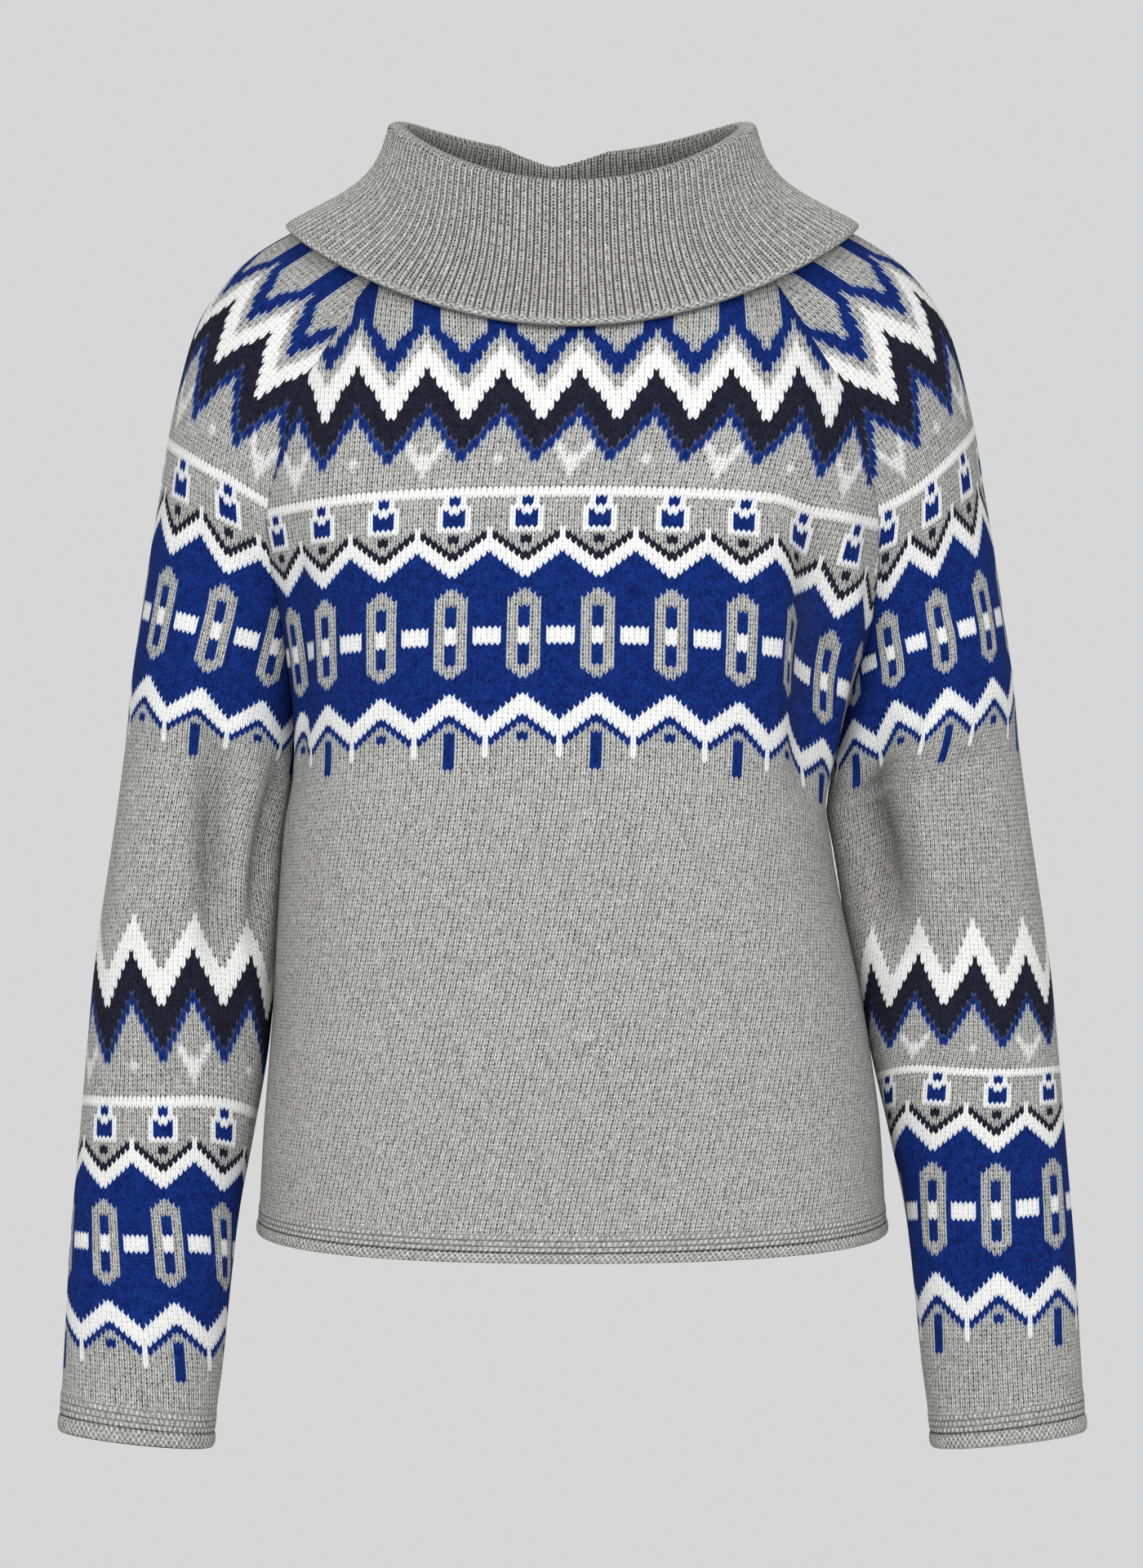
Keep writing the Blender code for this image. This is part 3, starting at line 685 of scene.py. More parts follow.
class Knit:
    """The stitches on a piece of cloth. Where it has bands on the arm, shift is their rows'."""

    def __init__(self, cloth, gauge, middle, stitches, last_row, roll, lean, shift=None):
        self.cloth, self.gauge, self.middle, self.roll = cloth, gauge, middle, roll
        self.first, self.last = stitches
        above = last_row + TURNED_ROWS
        self.rows = np.concatenate([np.arange(last_row, above, 0.25), np.arange(above, NECK_ROW + 0.5)])
        self.lean, self.shift = lean, shift

    def yarn(self, stitch, row):
        """The yarn of one stitch."""
        if self.shift is None or row > ARM_ROW:
            return yoke_yarn(stitch, row)
        return arm_yarn(stitch, row + self.shift)

    def softness(self, row):
        """How brushed a row's edges are: the yoke's and the arms' peaks are the softest."""
        band = row if self.shift is None else np.where(row > ARM_ROW, row, row + self.shift)
        return np.where(band > 30, 0.6, np.where(band > LINE_ROW, 0.7, 0.0))

    def spread(self, stitch, row):
        """A stitch's distance round its section, the section's row, and where the seam is."""
        width, middle, gather = (self.gauge.at(row, name) * MM for name in ("stitch", "middle", "gather"))
        lift, tilt, droop = (self.gauge.at(row, name) for name in ("lift", "tilt", "droop"))
        steps = stitch - self.middle
        distance = middle + steps * width
        section = row + lift
        share = distance / self.cloth.reach(distance, section)
        fade = soft_step((1 - np.abs(share)) / 0.4)
        section = section + tilt * TILT_STITCHES * np.tanh(steps / TILT_STITCHES) * fade
        section = section - droop * soft_step((share - 0.58) / 0.17)
        gathered = gather * soft_step((share - 0.62) / 0.3)
        distance = distance - gathered
        reach = self.cloth.reach(distance, section)
        end = (np.sign(distance) * reach - middle + gathered) / width + self.middle
        return distance, section, reach, end

    def place(self, stitch, row, shrink):
        """What cloth.read says of a stitch, and its seam flag, true stitch, section and share."""
        distance, section, reach, end = self.spread(stitch, row)
        outside = np.abs(distance) >= reach
        calm = np.clip((row - self.rows[0]) / 10, 0, 1)
        leaning = self.lean * (np.abs(stitch - np.round(stitch)) * 2) * calm
        leant, leant_section, leant_reach, _ = self.spread(stitch, row + leaning)
        section = np.where(outside, section, leant_section)
        inside = np.clip(leant / leant_reach, -1, 1)
        share = np.where(outside, np.sign(distance), inside) * shrink
        return self.cloth.read(share, section), outside, np.where(outside, end, stitch), section, share


# Meshes


def grid_mesh(name, columns, rows):
    """A flat grid as a mesh, with each vertex's column and row."""
    bm = bmesh.new()
    bmesh.ops.create_grid(bm, x_segments=columns, y_segments=rows, size=1)
    mesh = bpy.data.meshes.new(name)
    bm.to_mesh(mesh)
    bm.free()
    flat = np.empty(len(mesh.vertices) * 3)
    mesh.vertices.foreach_get("co", flat)
    flat = flat.reshape(-1, 3)
    column, row = (
        np.round((flat[:, axis] + 1) / 2 * count).astype(int) for axis, count in enumerate((columns, rows))
    )
    return mesh, column, row


def corner_vertices(mesh):
    """Each face corner's vertex."""
    vertex = np.empty(len(mesh.loops), int)
    mesh.loops.foreach_get("vertex_index", vertex)
    return vertex


def store(mesh, name, kind, domain, values):
    """Keeps values, or one value for all, on a mesh as a named attribute."""
    attribute = mesh.attributes.new(name, kind, domain)
    key, width = ("color", 4) if kind == "FLOAT_COLOR" else ("vector", 3)
    values = np.broadcast_to(values, (len(attribute.data), width))
    attribute.data.foreach_set(key, np.ascontiguousarray(values, dtype=np.float32).ravel())


def dress(mesh, place, outwards, stitch, row, finish, yarn=(0, 0, 0, 0), soft=(0, 0, 0, 1)):
    """Puts places, stitch coordinates, finish and yarns on a grid. The finish holds painted groove shade,
    the edge's plain and ridge shares and painted fold shade.
    """
    mesh.vertices.foreach_set("co", place.astype(np.float32).ravel())
    store(mesh, "yarn", "FLOAT_COLOR", "CORNER", yarn)
    store(mesh, "yarn_soft", "FLOAT_COLOR", "POINT", soft)
    store(mesh, "finish", "FLOAT_COLOR", "POINT", finish)
    store(mesh, "outwards", "FLOAT_VECTOR", "POINT", outwards)
    uv = np.stack([stitch, row], -1)[corner_vertices(mesh)]
    mesh.uv_layers.new(name="stitches").data.foreach_set("uv", uv.astype(np.float32).ravel())
    mesh.update()


def stitch_yarns(mesh, knit, rows, column, row):
    """The yarns at a mesh's corners, each face its own, and softly mixed at its vertices."""
    repeat = 2 * REPEAT
    columns = np.arange(column.max())
    stitches = np.floor(knit.first + (columns + 0.5) * 0.5 + 0.5).astype(int) % repeat
    numbers = np.floor(rows + 1e-6).astype(int)
    chart = np.array([[knit.yarn(stitch, line) for stitch in range(repeat)] for line in numbers[:-1]], float)
    faces = chart[:, stitches]
    corners = corner_vertices(mesh).reshape(-1, 4)
    face_row, face_column = (np.repeat(values[corners].min(axis=1), 4) for values in (row, column))
    softness = knit.softness(numbers)[face_row, None]
    padded = np.pad(faces, ((1, 1), (1, 1), (0, 0)), mode="edge")
    points = (padded[:-1, :-1] + padded[1:, :-1] + padded[:-1, 1:] + padded[1:, 1:]) / 4
    soft = np.pad(points[row, column], ((0, 0), (0, 1)), constant_values=1.0)
    return np.concatenate([faces[face_row, face_column], softness], axis=1), soft


def knitted_mesh(name, knit, coarse=1, shrink=None, inset=0.0):
    """The stitches of a piece as a mesh. A coarse one is its plain inner side."""
    rows = knit.rows[::coarse]
    if rows[-1] != knit.rows[-1]:
        rows = np.append(rows, knit.rows[-1])
    columns = int(round((knit.last - knit.first) * 2 / coarse))
    mesh, column, row = grid_mesh(name, columns, len(rows) - 1)
    knit_row = rows[row]
    narrowed = shrink(knit_row) if shrink else 1.0
    stitch = knit.first + column * 0.5 * coarse
    (place, outwards, shade), outside, stitch, section, share = knit.place(stitch, knit_row, narrowed)
    height = (section - knit.cloth.rows[0]) * ROW_HEIGHT / MM
    in_middle, at_sides = knit.roll
    relief, hollow_shade, plain, ridge = edge_relief(height, in_middle + at_sides * np.abs(share) ** 1.5)
    yarns = ()
    if coarse == 1:
        place += outwards * (relief - np.where(outside, 0.2 * MM, 0.0))[:, None]
        yarns = stitch_yarns(mesh, knit, rows, column, row)
    else:
        place -= outwards * inset
        # the plain inner side: painted shade all over
        hollow_shade, plain, ridge = (np.full_like(hollow_shade, value) for value in (0.35, 1.0, 1.0))
    # finish: painted groove shade, plain and ridge shares, painted fold shade
    dress(mesh, place, outwards, stitch, knit_row, np.stack([hollow_shade, plain, ridge, shade], -1), *yarns)
    flags = mesh.attributes.new("outside", "BOOLEAN", "POINT")
    flags.data.foreach_set("value", outside)
    return mesh


def drop_outside(bm):
    """Removes faces that lie wholly beyond a seam, and joins what meets there."""
    layer = bm.verts.layers.bool["outside"]
    gone = [face for face in bm.faces if all(vertex[layer] for vertex in face.verts)]
    bmesh.ops.delete(bm, geom=gone, context="FACES")
    edge_verts = [vertex for vertex in bm.verts if vertex[layer]]
    bmesh.ops.remove_doubles(bm, verts=edge_verts, dist=MERGE)


def open_rims(bm):
    """The edges with a face on one side only."""
    return [edge for edge in bm.edges if edge.is_boundary]


def turn_rims(bm, wall):
    """Turns the open edges in by the cloth's thickness."""
    layer = bm.verts.layers.float_vector["outwards"]
    for item in bmesh.ops.extrude_edge_only(bm, edges=open_rims(bm))["geom"]:
        if isinstance(item, bmesh.types.BMVert):
            item.co -= item[layer] * wall


def bridge_rims(bm, belongs):
    """Joins the open rims, first those that belong together and then the others."""
    rims = open_rims(bm)
    for here in (True, False):
        loops = [edge for edge in rims if belongs(edge) == here]
        if loops:
            bmesh.ops.bridge_loops(bm, edges=loops)


def placed(name, data):
    """A new object in the scene."""
    made = bpy.data.objects.new(name, data)
    bpy.context.scene.collection.objects.link(made)
    return made


def finished_piece(node, bm, material):
    """Makes a piece of a mesh, and puts it in place of its node."""
    bmesh.ops.recalc_face_normals(bm, faces=bm.faces)
    mesh = bpy.data.meshes.new(node + "_knit")
    bm.to_mesh(mesh)
    bm.free()
    for spare in ("outwards", "outside"):
        if spare in mesh.attributes:
            mesh.attributes.remove(mesh.attributes[spare])
    mesh.shade_smooth()
    mesh.materials.append(material)
    piece = placed(node + "_knit", mesh)
    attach(piece, "root")
    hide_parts(node)
    return piece


def knit_piece(node, material, knit, wall, split_height=None):
    """A knitted piece with its rim and its inner side. A tube's ends lie on either side of
    the split height."""
    def shrink(rows):
        return np.where((rows > UNDERARM_ROW + 4) | (split_height is None), 0.985, 1.0)

    def belongs(edge):
        low, high = (vertex.co.z for vertex in edge.verts)
        return split_height is None or (low + high) / 2 > split_height

    inner = knitted_mesh(node + "_inner", knit, coarse=4, shrink=shrink, inset=wall)
    bm = bmesh.new()
    bm.from_mesh(inner)
    drop_outside(bm)
    bm.to_mesh(inner)
    bm.free()
    bm = bmesh.new()
    bm.from_mesh(knitted_mesh(node + "_outer", knit))
    drop_outside(bm)
    turn_rims(bm, wall)
    bm.from_mesh(inner)
    bridge_rims(bm, belongs)
    return finished_piece(node, bm, material)


# The collar


def ring_points(ring, angle):
    """Points on one of the collar's rings: angle 0 is the middle front, pi the back."""
    reach = np.where(np.cos(angle) > 0, ring["front"], ring["back"])
    swing = (ring["z_front"] - ring["z_back"]) / 2
    sway = ((ring["z_front"] + ring["z_back"]) / 2 - ring["z_side"]) / 2
    height = ring["z_side"] + sway + swing * np.cos(angle) + sway * np.cos(2 * angle)
    return np.stack([ring["half_width"] * np.sin(angle), -reach * np.cos(angle), height], -1) * MM


def neck_seam(angle):
    """Points on the neck seam, spread from the middle front to the middle back."""
    row = np.array([float(NECK_ROW)])
    front, back = (panel_half(table, row, 1)[0] for table in (FRONT, BACK))
    front_shoulder, back_shoulder = (sleeve_half(row, is_front, 1)[0] for is_front in (True, False))
    line = np.concatenate([front, front_shoulder[-2::-1], back_shoulder[1:], back[-2::-1]])
    line = evenly(line[None])[0]
    share = np.abs(angle) / math.pi * (len(line) - 1)
    seam = np.stack([np.interp(share, np.arange(len(line)), column) for column in line.T], -1)
    seam[:, 0] *= np.where(angle < 0, -1, 1)
    return seam


def resting_edge(edge, angle, pieces):
    """The collar's free edge, let in towards the pieces it lies over by up to SETTLE."""
    trees = []
    for piece in pieces:
        bm = bmesh.new()
        bm.from_mesh(piece.data)
        trees.append(BVHTree.FromBMesh(bm))
        bm.free()
    let_in = np.zeros(len(edge))
    for index, (point, turn) in enumerate(zip(edge, angle)):
        inwards = -math.copysign(1, point[1])
        start = Vector(point)
        start.y -= inwards * RAY_START
        hits = [tree.ray_cast(start, Vector((0, inwards, 0)), RAY_LENGTH) for tree in trees]
        gap = min((hit[3] - RAY_START for hit in hits if hit[3] is not None), default=0.0) - CLEARANCE
        let_in[index] = min(max(gap, 0.0), SETTLE) * abs(math.cos(turn)) ** 0.5
    window = np.hanning(61)
    ring = np.concatenate([let_in[-31:-1], let_in, let_in[1:31]])
    let_in = np.convolve(ring, window / window.sum(), "valid")
    edge[:, 1] -= np.sign(edge[:, 1]) * let_in
    return edge


def collar_lines(angle, wall, pieces):
    """The ribbed face and the plain face of the collar's wall, at an array of angles."""
    seam = neck_seam(angle)
    fold = ring_points(FOLD_RING, angle)
    apart = np.abs(angle - NOTCH_AT)
    away = np.minimum(apart, 2 * math.pi - apart) / NOTCH_ANGLE
    fold[:, 2] -= NOTCH_DEPTH * np.clip(1 - np.sqrt(away * away + 0.01), 0, 1)
    edge = ring_points(FREE_EDGE, angle - RIB_CROWDING * np.sin(2 * angle))
    edge = resting_edge(edge, angle, pieces)
    outwards = np.stack([np.sin(angle), -np.cos(angle), np.zeros_like(angle)], -1)
    up = np.array([0.0, 0.0, 1.0])
    half_gap = outwards * FOLD_GAP / 2
    thick = outwards * wall
    inner_top = fold - half_gap - up * (wall + FOLD_GAP)
    outer_top = fold + half_gap - up * (wall + FOLD_GAP)
    down = (edge - outer_top) * up
    flare = edge - outer_top - down
    flat = np.linalg.norm(flare, axis=1)[:, None]
    edge_wall = unit(flare / flat * np.abs(down[:, 2:]) + up * flat) * wall
    near_fold, near_edge = outer_top + 0.10 * flare + 0.55 * down, outer_top + 0.48 * flare + 0.70 * down

    def on_skirt(t):
        return cubic(t, outer_top, near_fold, near_edge, edge)

    start = seam + up * 1.05 * MM
    waist = seam + 0.45 * (fold - seam) - outwards * 1.5 * MM
    ribbed = [start - thick, waist - thick, inner_top - thick]
    rounding = half_gap * 1.1 + thick * 0.72
    ribbed += [fold - rounding - up * wall * 0.42, fold, fold + rounding - up * wall * 0.42]
    ribbed.append(outer_top + thick)
    for t in (0.12, 0.25, 0.38, 0.5, 0.62, 0.74, 0.87, 1.0):
        blend = min(t * 1.3, 1.0)
        ribbed.append(on_skirt(t) + thick * (1 - blend) + edge_wall * blend)
    plain = [start, waist, inner_top, fold - up * wall, outer_top, on_skirt(0.5), edge]
    return np.stack(ribbed, 1), np.stack(plain, 1)


def smooth_lines(lines, count):
    """Smooth curves through the lines' points, with evenly spread points."""
    before = np.concatenate([2 * lines[:, :1] - lines[:, 1:2], lines[:, :-1]], axis=1)
    after = np.concatenate([lines[:, 1:], 2 * lines[:, -1:] - lines[:, -2:-1]], axis=1)
    slope = ((after - before) / 2)[:, :, None]
    t = np.linspace(0, 1, 12, endpoint=False)[None, None, :, None]
    body = eased(t, lines[:, :-1, None], lines[:, 1:, None], slope[:, :-1], slope[:, 1:])
    return evenly(np.concatenate([body.reshape(len(lines), -1, 3), lines[:, -1:]], axis=1), count)


def ribbed_face(sizes, wall, pieces):
    """The collar's face with its ribs, and each vertex's row from the neck seam."""
    columns = sizes.ribs * COLUMNS_PER_RIB
    ribbed, _ = collar_lines(np.linspace(-math.pi, math.pi, columns + 1), wall, pieces)
    last = 4 * COLLAR_ROWS
    lines = smooth_lines(ribbed, last + 1)
    across = np.gradient(lines, axis=0)
    across[0] = across[-1] = across[0] + across[-1]
    outwards = unit(np.cross(np.gradient(lines, axis=1), across))
    mesh, column, row = grid_mesh("collar_outer", columns, COLLAR_ROWS)
    half_rib = COLUMNS_PER_RIB / 2
    from_crown = np.abs(column % COLUMNS_PER_RIB - half_rib) / half_rib
    raised = row + sizes.lean * from_crown * (row > 0) * (row < COLLAR_ROWS)
    position = np.clip(raised * 4, 0, last)
    low = np.minimum(position.astype(int), last - 1)
    part = (position - low)[:, None]
    place = lines[column, low] * (1 - part) + lines[column, low + 1] * part
    facing = outwards[column, low]
    to_edge = (COLLAR_ROWS - row) / CAST_OFF_ROWS
    ribbing = np.clip(to_edge - 0.4, 0, 1)
    top = lines[:, :, 2].argmax(axis=1)[column] / 4
    crown = np.sqrt(np.clip(1 - from_crown**2.6, 0, 1))
    crown *= 1 - 0.6 * np.exp(-(((row - top) / 5) ** 2))  # the fold draws the ribs flat
    rim = 0.75 * np.sin(math.pi * np.clip(to_edge, 0.0, 1.4) / 1.4)
    place += facing * (sizes.rib_depth * (crown * ribbing + (1 - ribbing) * rim))[:, None]
    line = np.exp(-(((COLLAR_ROWS - row) - CAST_OFF_ROWS) / 0.45) ** 2)
    # painted shade in the grooves between the ribs and along the cast-off line
    hollow_shade = np.maximum(np.clip((from_crown - 0.3) / 0.7, 0, 1) * ribbing, 0.45 * line)
    # painted shade on the collar's inner side, from the neck seam up to its fold
    within = soft_step((top - row) / 8)
    finish = np.stack([hollow_shade, 1 - ribbing, np.ones_like(ribbing), 0.95 * within], -1)
    dress(mesh, place, facing, column / COLUMNS_PER_RIB - 0.5, row, finish)
    return mesh, row


def plain_face(sizes, wall, pieces):
    """The collar's face within the fold, and each vertex's row from the neck seam."""
    _, plain = collar_lines(np.linspace(-math.pi, math.pi, sizes.ribs + 1), wall, pieces)
    mesh, column, row = grid_mesh("collar_inner", sizes.ribs, HIDDEN_ROWS)
    place = smooth_lines(plain, HIDDEN_ROWS + 1)[column, row]
    # painted shade all over the hidden face within the fold
    dress(mesh, place, (0, 0, 0), column, row * 6.0, (0.3, 1.0, 1.0, 0.5))
    return mesh, row


# Materials


def arithmetic(operation, swapped=False):
    """A method that puts a value and another one through a Math node."""
    def method(self, other):
        pair = [other, self] if swapped else [self, other]
        return self.shader.value("ShaderNodeMath", {"operation": operation}, pair)

    return method


class Value:
    """A shader socket that plain arithmetic adds nodes to."""

    __add__ = __radd__ = arithmetic("ADD")
    __mul__ = __rmul__ = arithmetic("MULTIPLY")
    __sub__ = arithmetic("SUBTRACT")
    __rsub__ = arithmetic("SUBTRACT", swapped=True)
    __pow__ = arithmetic("POWER")

    def __init__(self, shader, socket):
        self.shader, self.socket = shader, socket

    def math(self, operation):
        return self.shader.value("ShaderNodeMath", {"operation": operation}, [self])

    def clamped(self):
        return self.shader.value("ShaderNodeMath", {"operation": "ADD", "use_clamp": True}, [self, 0.0])

    def above(self, low, high):
        """0 below low, 1 above high, smooth between."""
        inputs = {"Value": self, "From Min": low, "From Max": high}
        return self.shader.value("ShaderNodeMapRange", {"interpolation_type": "SMOOTHSTEP"}, inputs)


class Shader:
    """Builds a material's nodes."""

    def __init__(self, name):
        self.material = bpy.data.materials.new(name)
        self.material.use_nodes = True
        self.tree = self.material.node_tree
        self.principled = self.tree.nodes["Principled BSDF"]

    def node(self, kind, settings=None, inputs=None):
        """A node with its settings made first, then its sockets' values or links."""
        node = self.tree.nodes.new(kind)
        for key, value in (settings or {}).items():
            setattr(node, key, value)
        pairs = inputs.items() if isinstance(inputs, dict) else enumerate(inputs or [])
        for key, value in pairs:
            self.feed(node.inputs[key], value)
        return node

    def feed(self, socket, value):
        """Links a value to a socket, or sets the socket."""
        if isinstance(value, Value):
            self.tree.links.new(value.socket, socket)
        else:
            socket.default_value = (*value, 1.0) if socket.type == "RGBA" else value

    def finish(self, **inputs):
        """Feeds the principled shader, whose sockets' names have spaces for underscores."""
        for name, value in inputs.items():
            self.feed(self.principled.inputs[name.replace("_", " ")], value)

    def value(self, kind, settings=None, inputs=None, output=0):
        """The output of a new node."""
        return Value(self, self.node(kind, settings, inputs).outputs[output])

    def attribute(self, name, output="Color"):
        """A colour attribute's output."""
        return self.value("ShaderNodeAttribute", {"attribute_name": name}, output=output)

    def channels(self, name):
        """A colour attribute's three channels."""
        split = self.node("ShaderNodeSeparateColor", None, {"Color": self.attribute(name)})
        return [Value(self, split.outputs[index]) for index in range(3)]

    def mixed(self, share, first, second):
        """Two colours mixed by a share."""
        node = self.node("ShaderNodeMix", {"data_type": "RGBA"}, {0: share, 6: first, 7: second})
        return Value(self, node.outputs[2])

    def noise(self, vector, scale, detail, roughness):
        """A soft noise from 0 to 1."""
        inputs = {"Vector": vector, "Scale": scale, "Detail": detail, "Roughness": roughness}
        return self.value("ShaderNodeTexNoise", None, inputs)

    def chance(self, *parts):
        """A number from 0 to 1 for each combination of the parts, and their vector's."""
        vector = self.value("ShaderNodeCombineXYZ", None, [*parts, 0.0])
        return self.value("ShaderNodeTexWhiteNoise", {"noise_dimensions": "2D"}, {"Vector": vector})


def times(colour, *factors, plus=0.0):
    """A colour with its channels multiplied, by one factor or by three."""
    return tuple(np.array(colour) * factors + plus)


def knit_material(name, openness=1.0):
    """Knitted yarn: marl legs, felted blues and white, coloured by the piece's own stitches, with painted
    shade in the gaps, grooves and folds.
    """
    sizes, yarns = bpy.context.scene.jumper_sizes, bpy.context.scene.jumper_yarns
    shader = Shader(name)
    stitches = shader.value("ShaderNodeUVMap", {"uv_map": "stitches"})
    split = shader.node("ShaderNodeSeparateXYZ", None, [stitches])
    u, v = (Value(shader, split.outputs[index]) for index in range(2))
    place = shader.value("ShaderNodeTexCoord", output="Object")
    # finish holds painted groove shade and the edge's plain and ridge shares
    hollow_shade, plain, ridge = shader.channels("finish")
    fuzz = shader.noise(place, 1750.0, 1.0, 0.6)
    fleck = shader.noise(place, 760.0, 1.0, 0.5)
    cloud = shader.noise(place, 210.0, 3.0, 0.6)

    # each stitch's own chance, and where a point is on its leg: 0 in the stitch's middle
    # and 1 between the columns, then 0 to 1 up the leg
    chance = shader.chance((u + 0.5).math("FLOOR"), v.math("FLOOR"))
    own = shader.chance((u * 2.0).math("FLOOR"), v.math("FLOOR"))
    outwards = (((u + 0.5).math("FRACT") - 0.5).math("ABSOLUTE") * 2.0 + (cloud - 0.5) * 0.25).clamped()
    up = v.math("FRACT")
    across_round = ((u * 2.0).math("FRACT") * math.pi).math("SINE")
    along_round = (up * math.pi).math("SINE")
    leg_height = across_round ** 0.7 * (along_round ** 0.6 * 0.3 + 0.7)

    # painted shade in the pinhole inside each stitch, in the slot between its column and the next and along
    # the rows' boundaries
    deep = up.above(0.18, 0.42) * (1.0 - up.above(0.78, 1.0))
    pinhole = (1.0 - outwards.above(0.12, 0.50)) * (deep * 0.85 + 0.15) * (0.45 + chance * 0.65)
    slot = outwards.above(0.58, 0.95) * (1.0 - up.above(0.30, 0.75)) * (0.25 + own * 0.45)
    seam = (1.0 - along_round.above(0.0, 0.5)) * 0.08
    cavity_shade = ((pinhole + slot * 0.7) * openness + seam).clamped()

    # grey marl: light and dark strands twisted together
    twist = shader.value("ShaderNodeCombineXYZ", None, [u * 6.0, v * 1.7 + own * 9.0, own * 5.0])
    strands = shader.noise(twist, 1.0, 2.0, 0.6)
    marl = (
        (strands - 0.5) * 1.1 + (fuzz - 0.5) * 2.8 + (fleck - 0.5) * 0.7 + (own - 0.5) * 0.25
        + (cloud - 0.5) * 0.2 + 0.5
    ).clamped()
    grey = shader.mixed(marl, yarns.grey_dark, yarns.grey_light)

    # stitches keep their own yarn, and their edges are as soft as the brushed yarns'
    softness = shader.attribute("yarn", "Alpha")
    soft = shader.channels("yarn_soft")
    shares = []
    for sharp, blurred in zip(shader.channels("yarn"), soft):
        blend = sharp + (blurred - sharp) * (0.25 + softness * 0.45)
        share = blend + (fuzz - 0.5) * (0.25 + softness * 0.5)
        shares.append(share.above(0.38 - softness * 0.28, 0.62 + softness * 0.28))
    white, navy, royal = shares
    halo = (soft[2] * 1.5).clamped()
    grey = shader.mixed(halo * 0.42, grey, yarns.halo)
    fluff = (fuzz * 0.5 + fleck * 0.5).above(0.25, 0.6)
    snow = shader.mixed(fluff, times(yarns.white, 0.80), yarns.white)
    snow = shader.mixed(halo * 0.38, snow, yarns.halo)
    felt = (fuzz * 0.34 + fleck * 0.36 + cloud * 0.30).above(0.33, 0.67)
    navy_yarn = shader.mixed(felt, times(yarns.navy, 0.55), times(yarns.navy, 1.75, plus=0.003))
    royal_yarn = shader.mixed(
        felt, times(yarns.royal, 0.45, 0.42, 0.48), times(yarns.royal, 2.2, 2.0, 1.65)
    )
    colour = grey
    for share, yarn in ((white, snow), (navy, navy_yarn), (royal, royal_yarn)):
        colour = shader.mixed(share, colour, yarn)

    # purl ridges at the hem and the cuffs, as rows of small bumps
    ridge_row = ridge * 8.0 - 1.0
    is_ridge = ridge_row.above(0.0, 0.02) * (1.0 - ridge_row.above(2.98, 3.0))
    ridge_round = (ridge_row.math("FRACT") * math.pi).math("SINE")
    bead = ((u + ridge_row.math("FLOOR") * 0.5) * (2 * math.pi)).math("COSINE") * 0.5 + 0.5
    bead_height = ridge_round ** 0.4 * (0.35 + bead * 0.65)
    moss = (u * (2 * math.pi)).math("SINE") * (v * (1.2 * math.pi)).math("SINE") * 0.5 + 0.5

    felted = (navy + royal).clamped()
    # painted shade in the stitches' gaps, between the ridges' beads and between the roll's moss bumps
    shade = cavity_shade * (1.0 - felted * 0.78 - white * 0.55) * (1.0 - plain)
    shade = shade + is_ridge * (1.0 - bead_height) ** 1.3 * 0.85
    shade = shade + plain * (1.0 - is_ridge) * (1.0 - moss) ** 1.5 * 0.8
    # painted shade in the grooves, along the hem's crease and on the inner sides
    shade = (shade + hollow_shade ** 1.7 * (0.72 + along_round * 0.28) * 0.95).clamped()
    colour = shader.mixed(shade, colour, yarns.shadow)
    # painted shade in the deep folds and inside the collar, kept in the finish attribute's alpha
    colour = shader.mixed(shader.attribute("finish", "Alpha") * 0.5, colour, yarns.shadow)

    height = leg_height * (1.0 - felted * 0.75) * (1.0 - white * 0.72) * (1.0 - plain)
    height = height + is_ridge * bead_height * 1.5 + plain * (1.0 - is_ridge) * moss * 0.9
    height = height + fuzz * 0.45 + fleck * 0.25
    inputs = {"Strength": 1.0, "Distance": sizes.relief, "Height": height}
    bump = shader.value("ShaderNodeBump", None, inputs)
    shader.finish(Base_Color=colour, Normal=bump, Roughness=0.95, Specular_IOR_Level=0.03,
                  Sheen_Weight=0.01, Sheen_Roughness=0.5)
    return shader.material


# The operators


class JUMPER_OT_panels(bpy.types.Operator):
    """Knit the front and the back"""

    bl_idname = "jumper.panels"
    bl_label = "Front and back"

    def execute(self, context):
        sizes = context.scene.jumper_sizes
        material = knit_material("grey_marl_knit")
        for node, table, gauge, side, seed in (
            ("front", FRONT, FRONT_GAUGE, 1, 1),
            ("back", BACK, BACK_GAUGE, -1, 2),
        ):
            def half_of(rows, end, table=table):
                return panel_half(table, rows, end)

            cloth = Cloth(node, side, HEM_ROW, half_of, seed)
            knit = Knit(cloth, gauge, 0.0, PANEL_STITCHES, HEM_ROW, HEM_ROLL, sizes.lean)
            piece = knit_piece(node, material, knit, sizes.wall)
        return {"FINISHED"}


class JUMPER_OT_sleeves(bpy.types.Operator):
    """Knit the two sleeves"""

    bl_idname = "jumper.sleeves"
    bl_label = "Sleeves"

    def execute(self, context):
        sizes = context.scene.jumper_sizes
        material = knit_material("patterned_knit")
        # shift is how many rows the arm's bands stand below the yoke's
        for node, side, gauge, last_row, shift in (
            ("sleeve_right", -1, RIGHT_GAUGE, CUFF_ROW, 141),
            ("sleeve_left", 1, LEFT_GAUGE, CUFF_ROW - 6, 139),
        ):
            def half_of(rows, end, side=side):
                return sleeve_half(rows, end < 0, side)

            cloth = Cloth("sleeve", side, CUFF_ROW, half_of, 3 + side)
            knit = Knit(
                cloth, gauge, SLEEVE_MIDDLE_STITCH, SLEEVE_STITCHES, last_row, CUFF_ROLL, sizes.lean, shift
            )
            piece = knit_piece(node, material, knit, sizes.wall, SLEEVE_SPLIT)
        return {"FINISHED"}


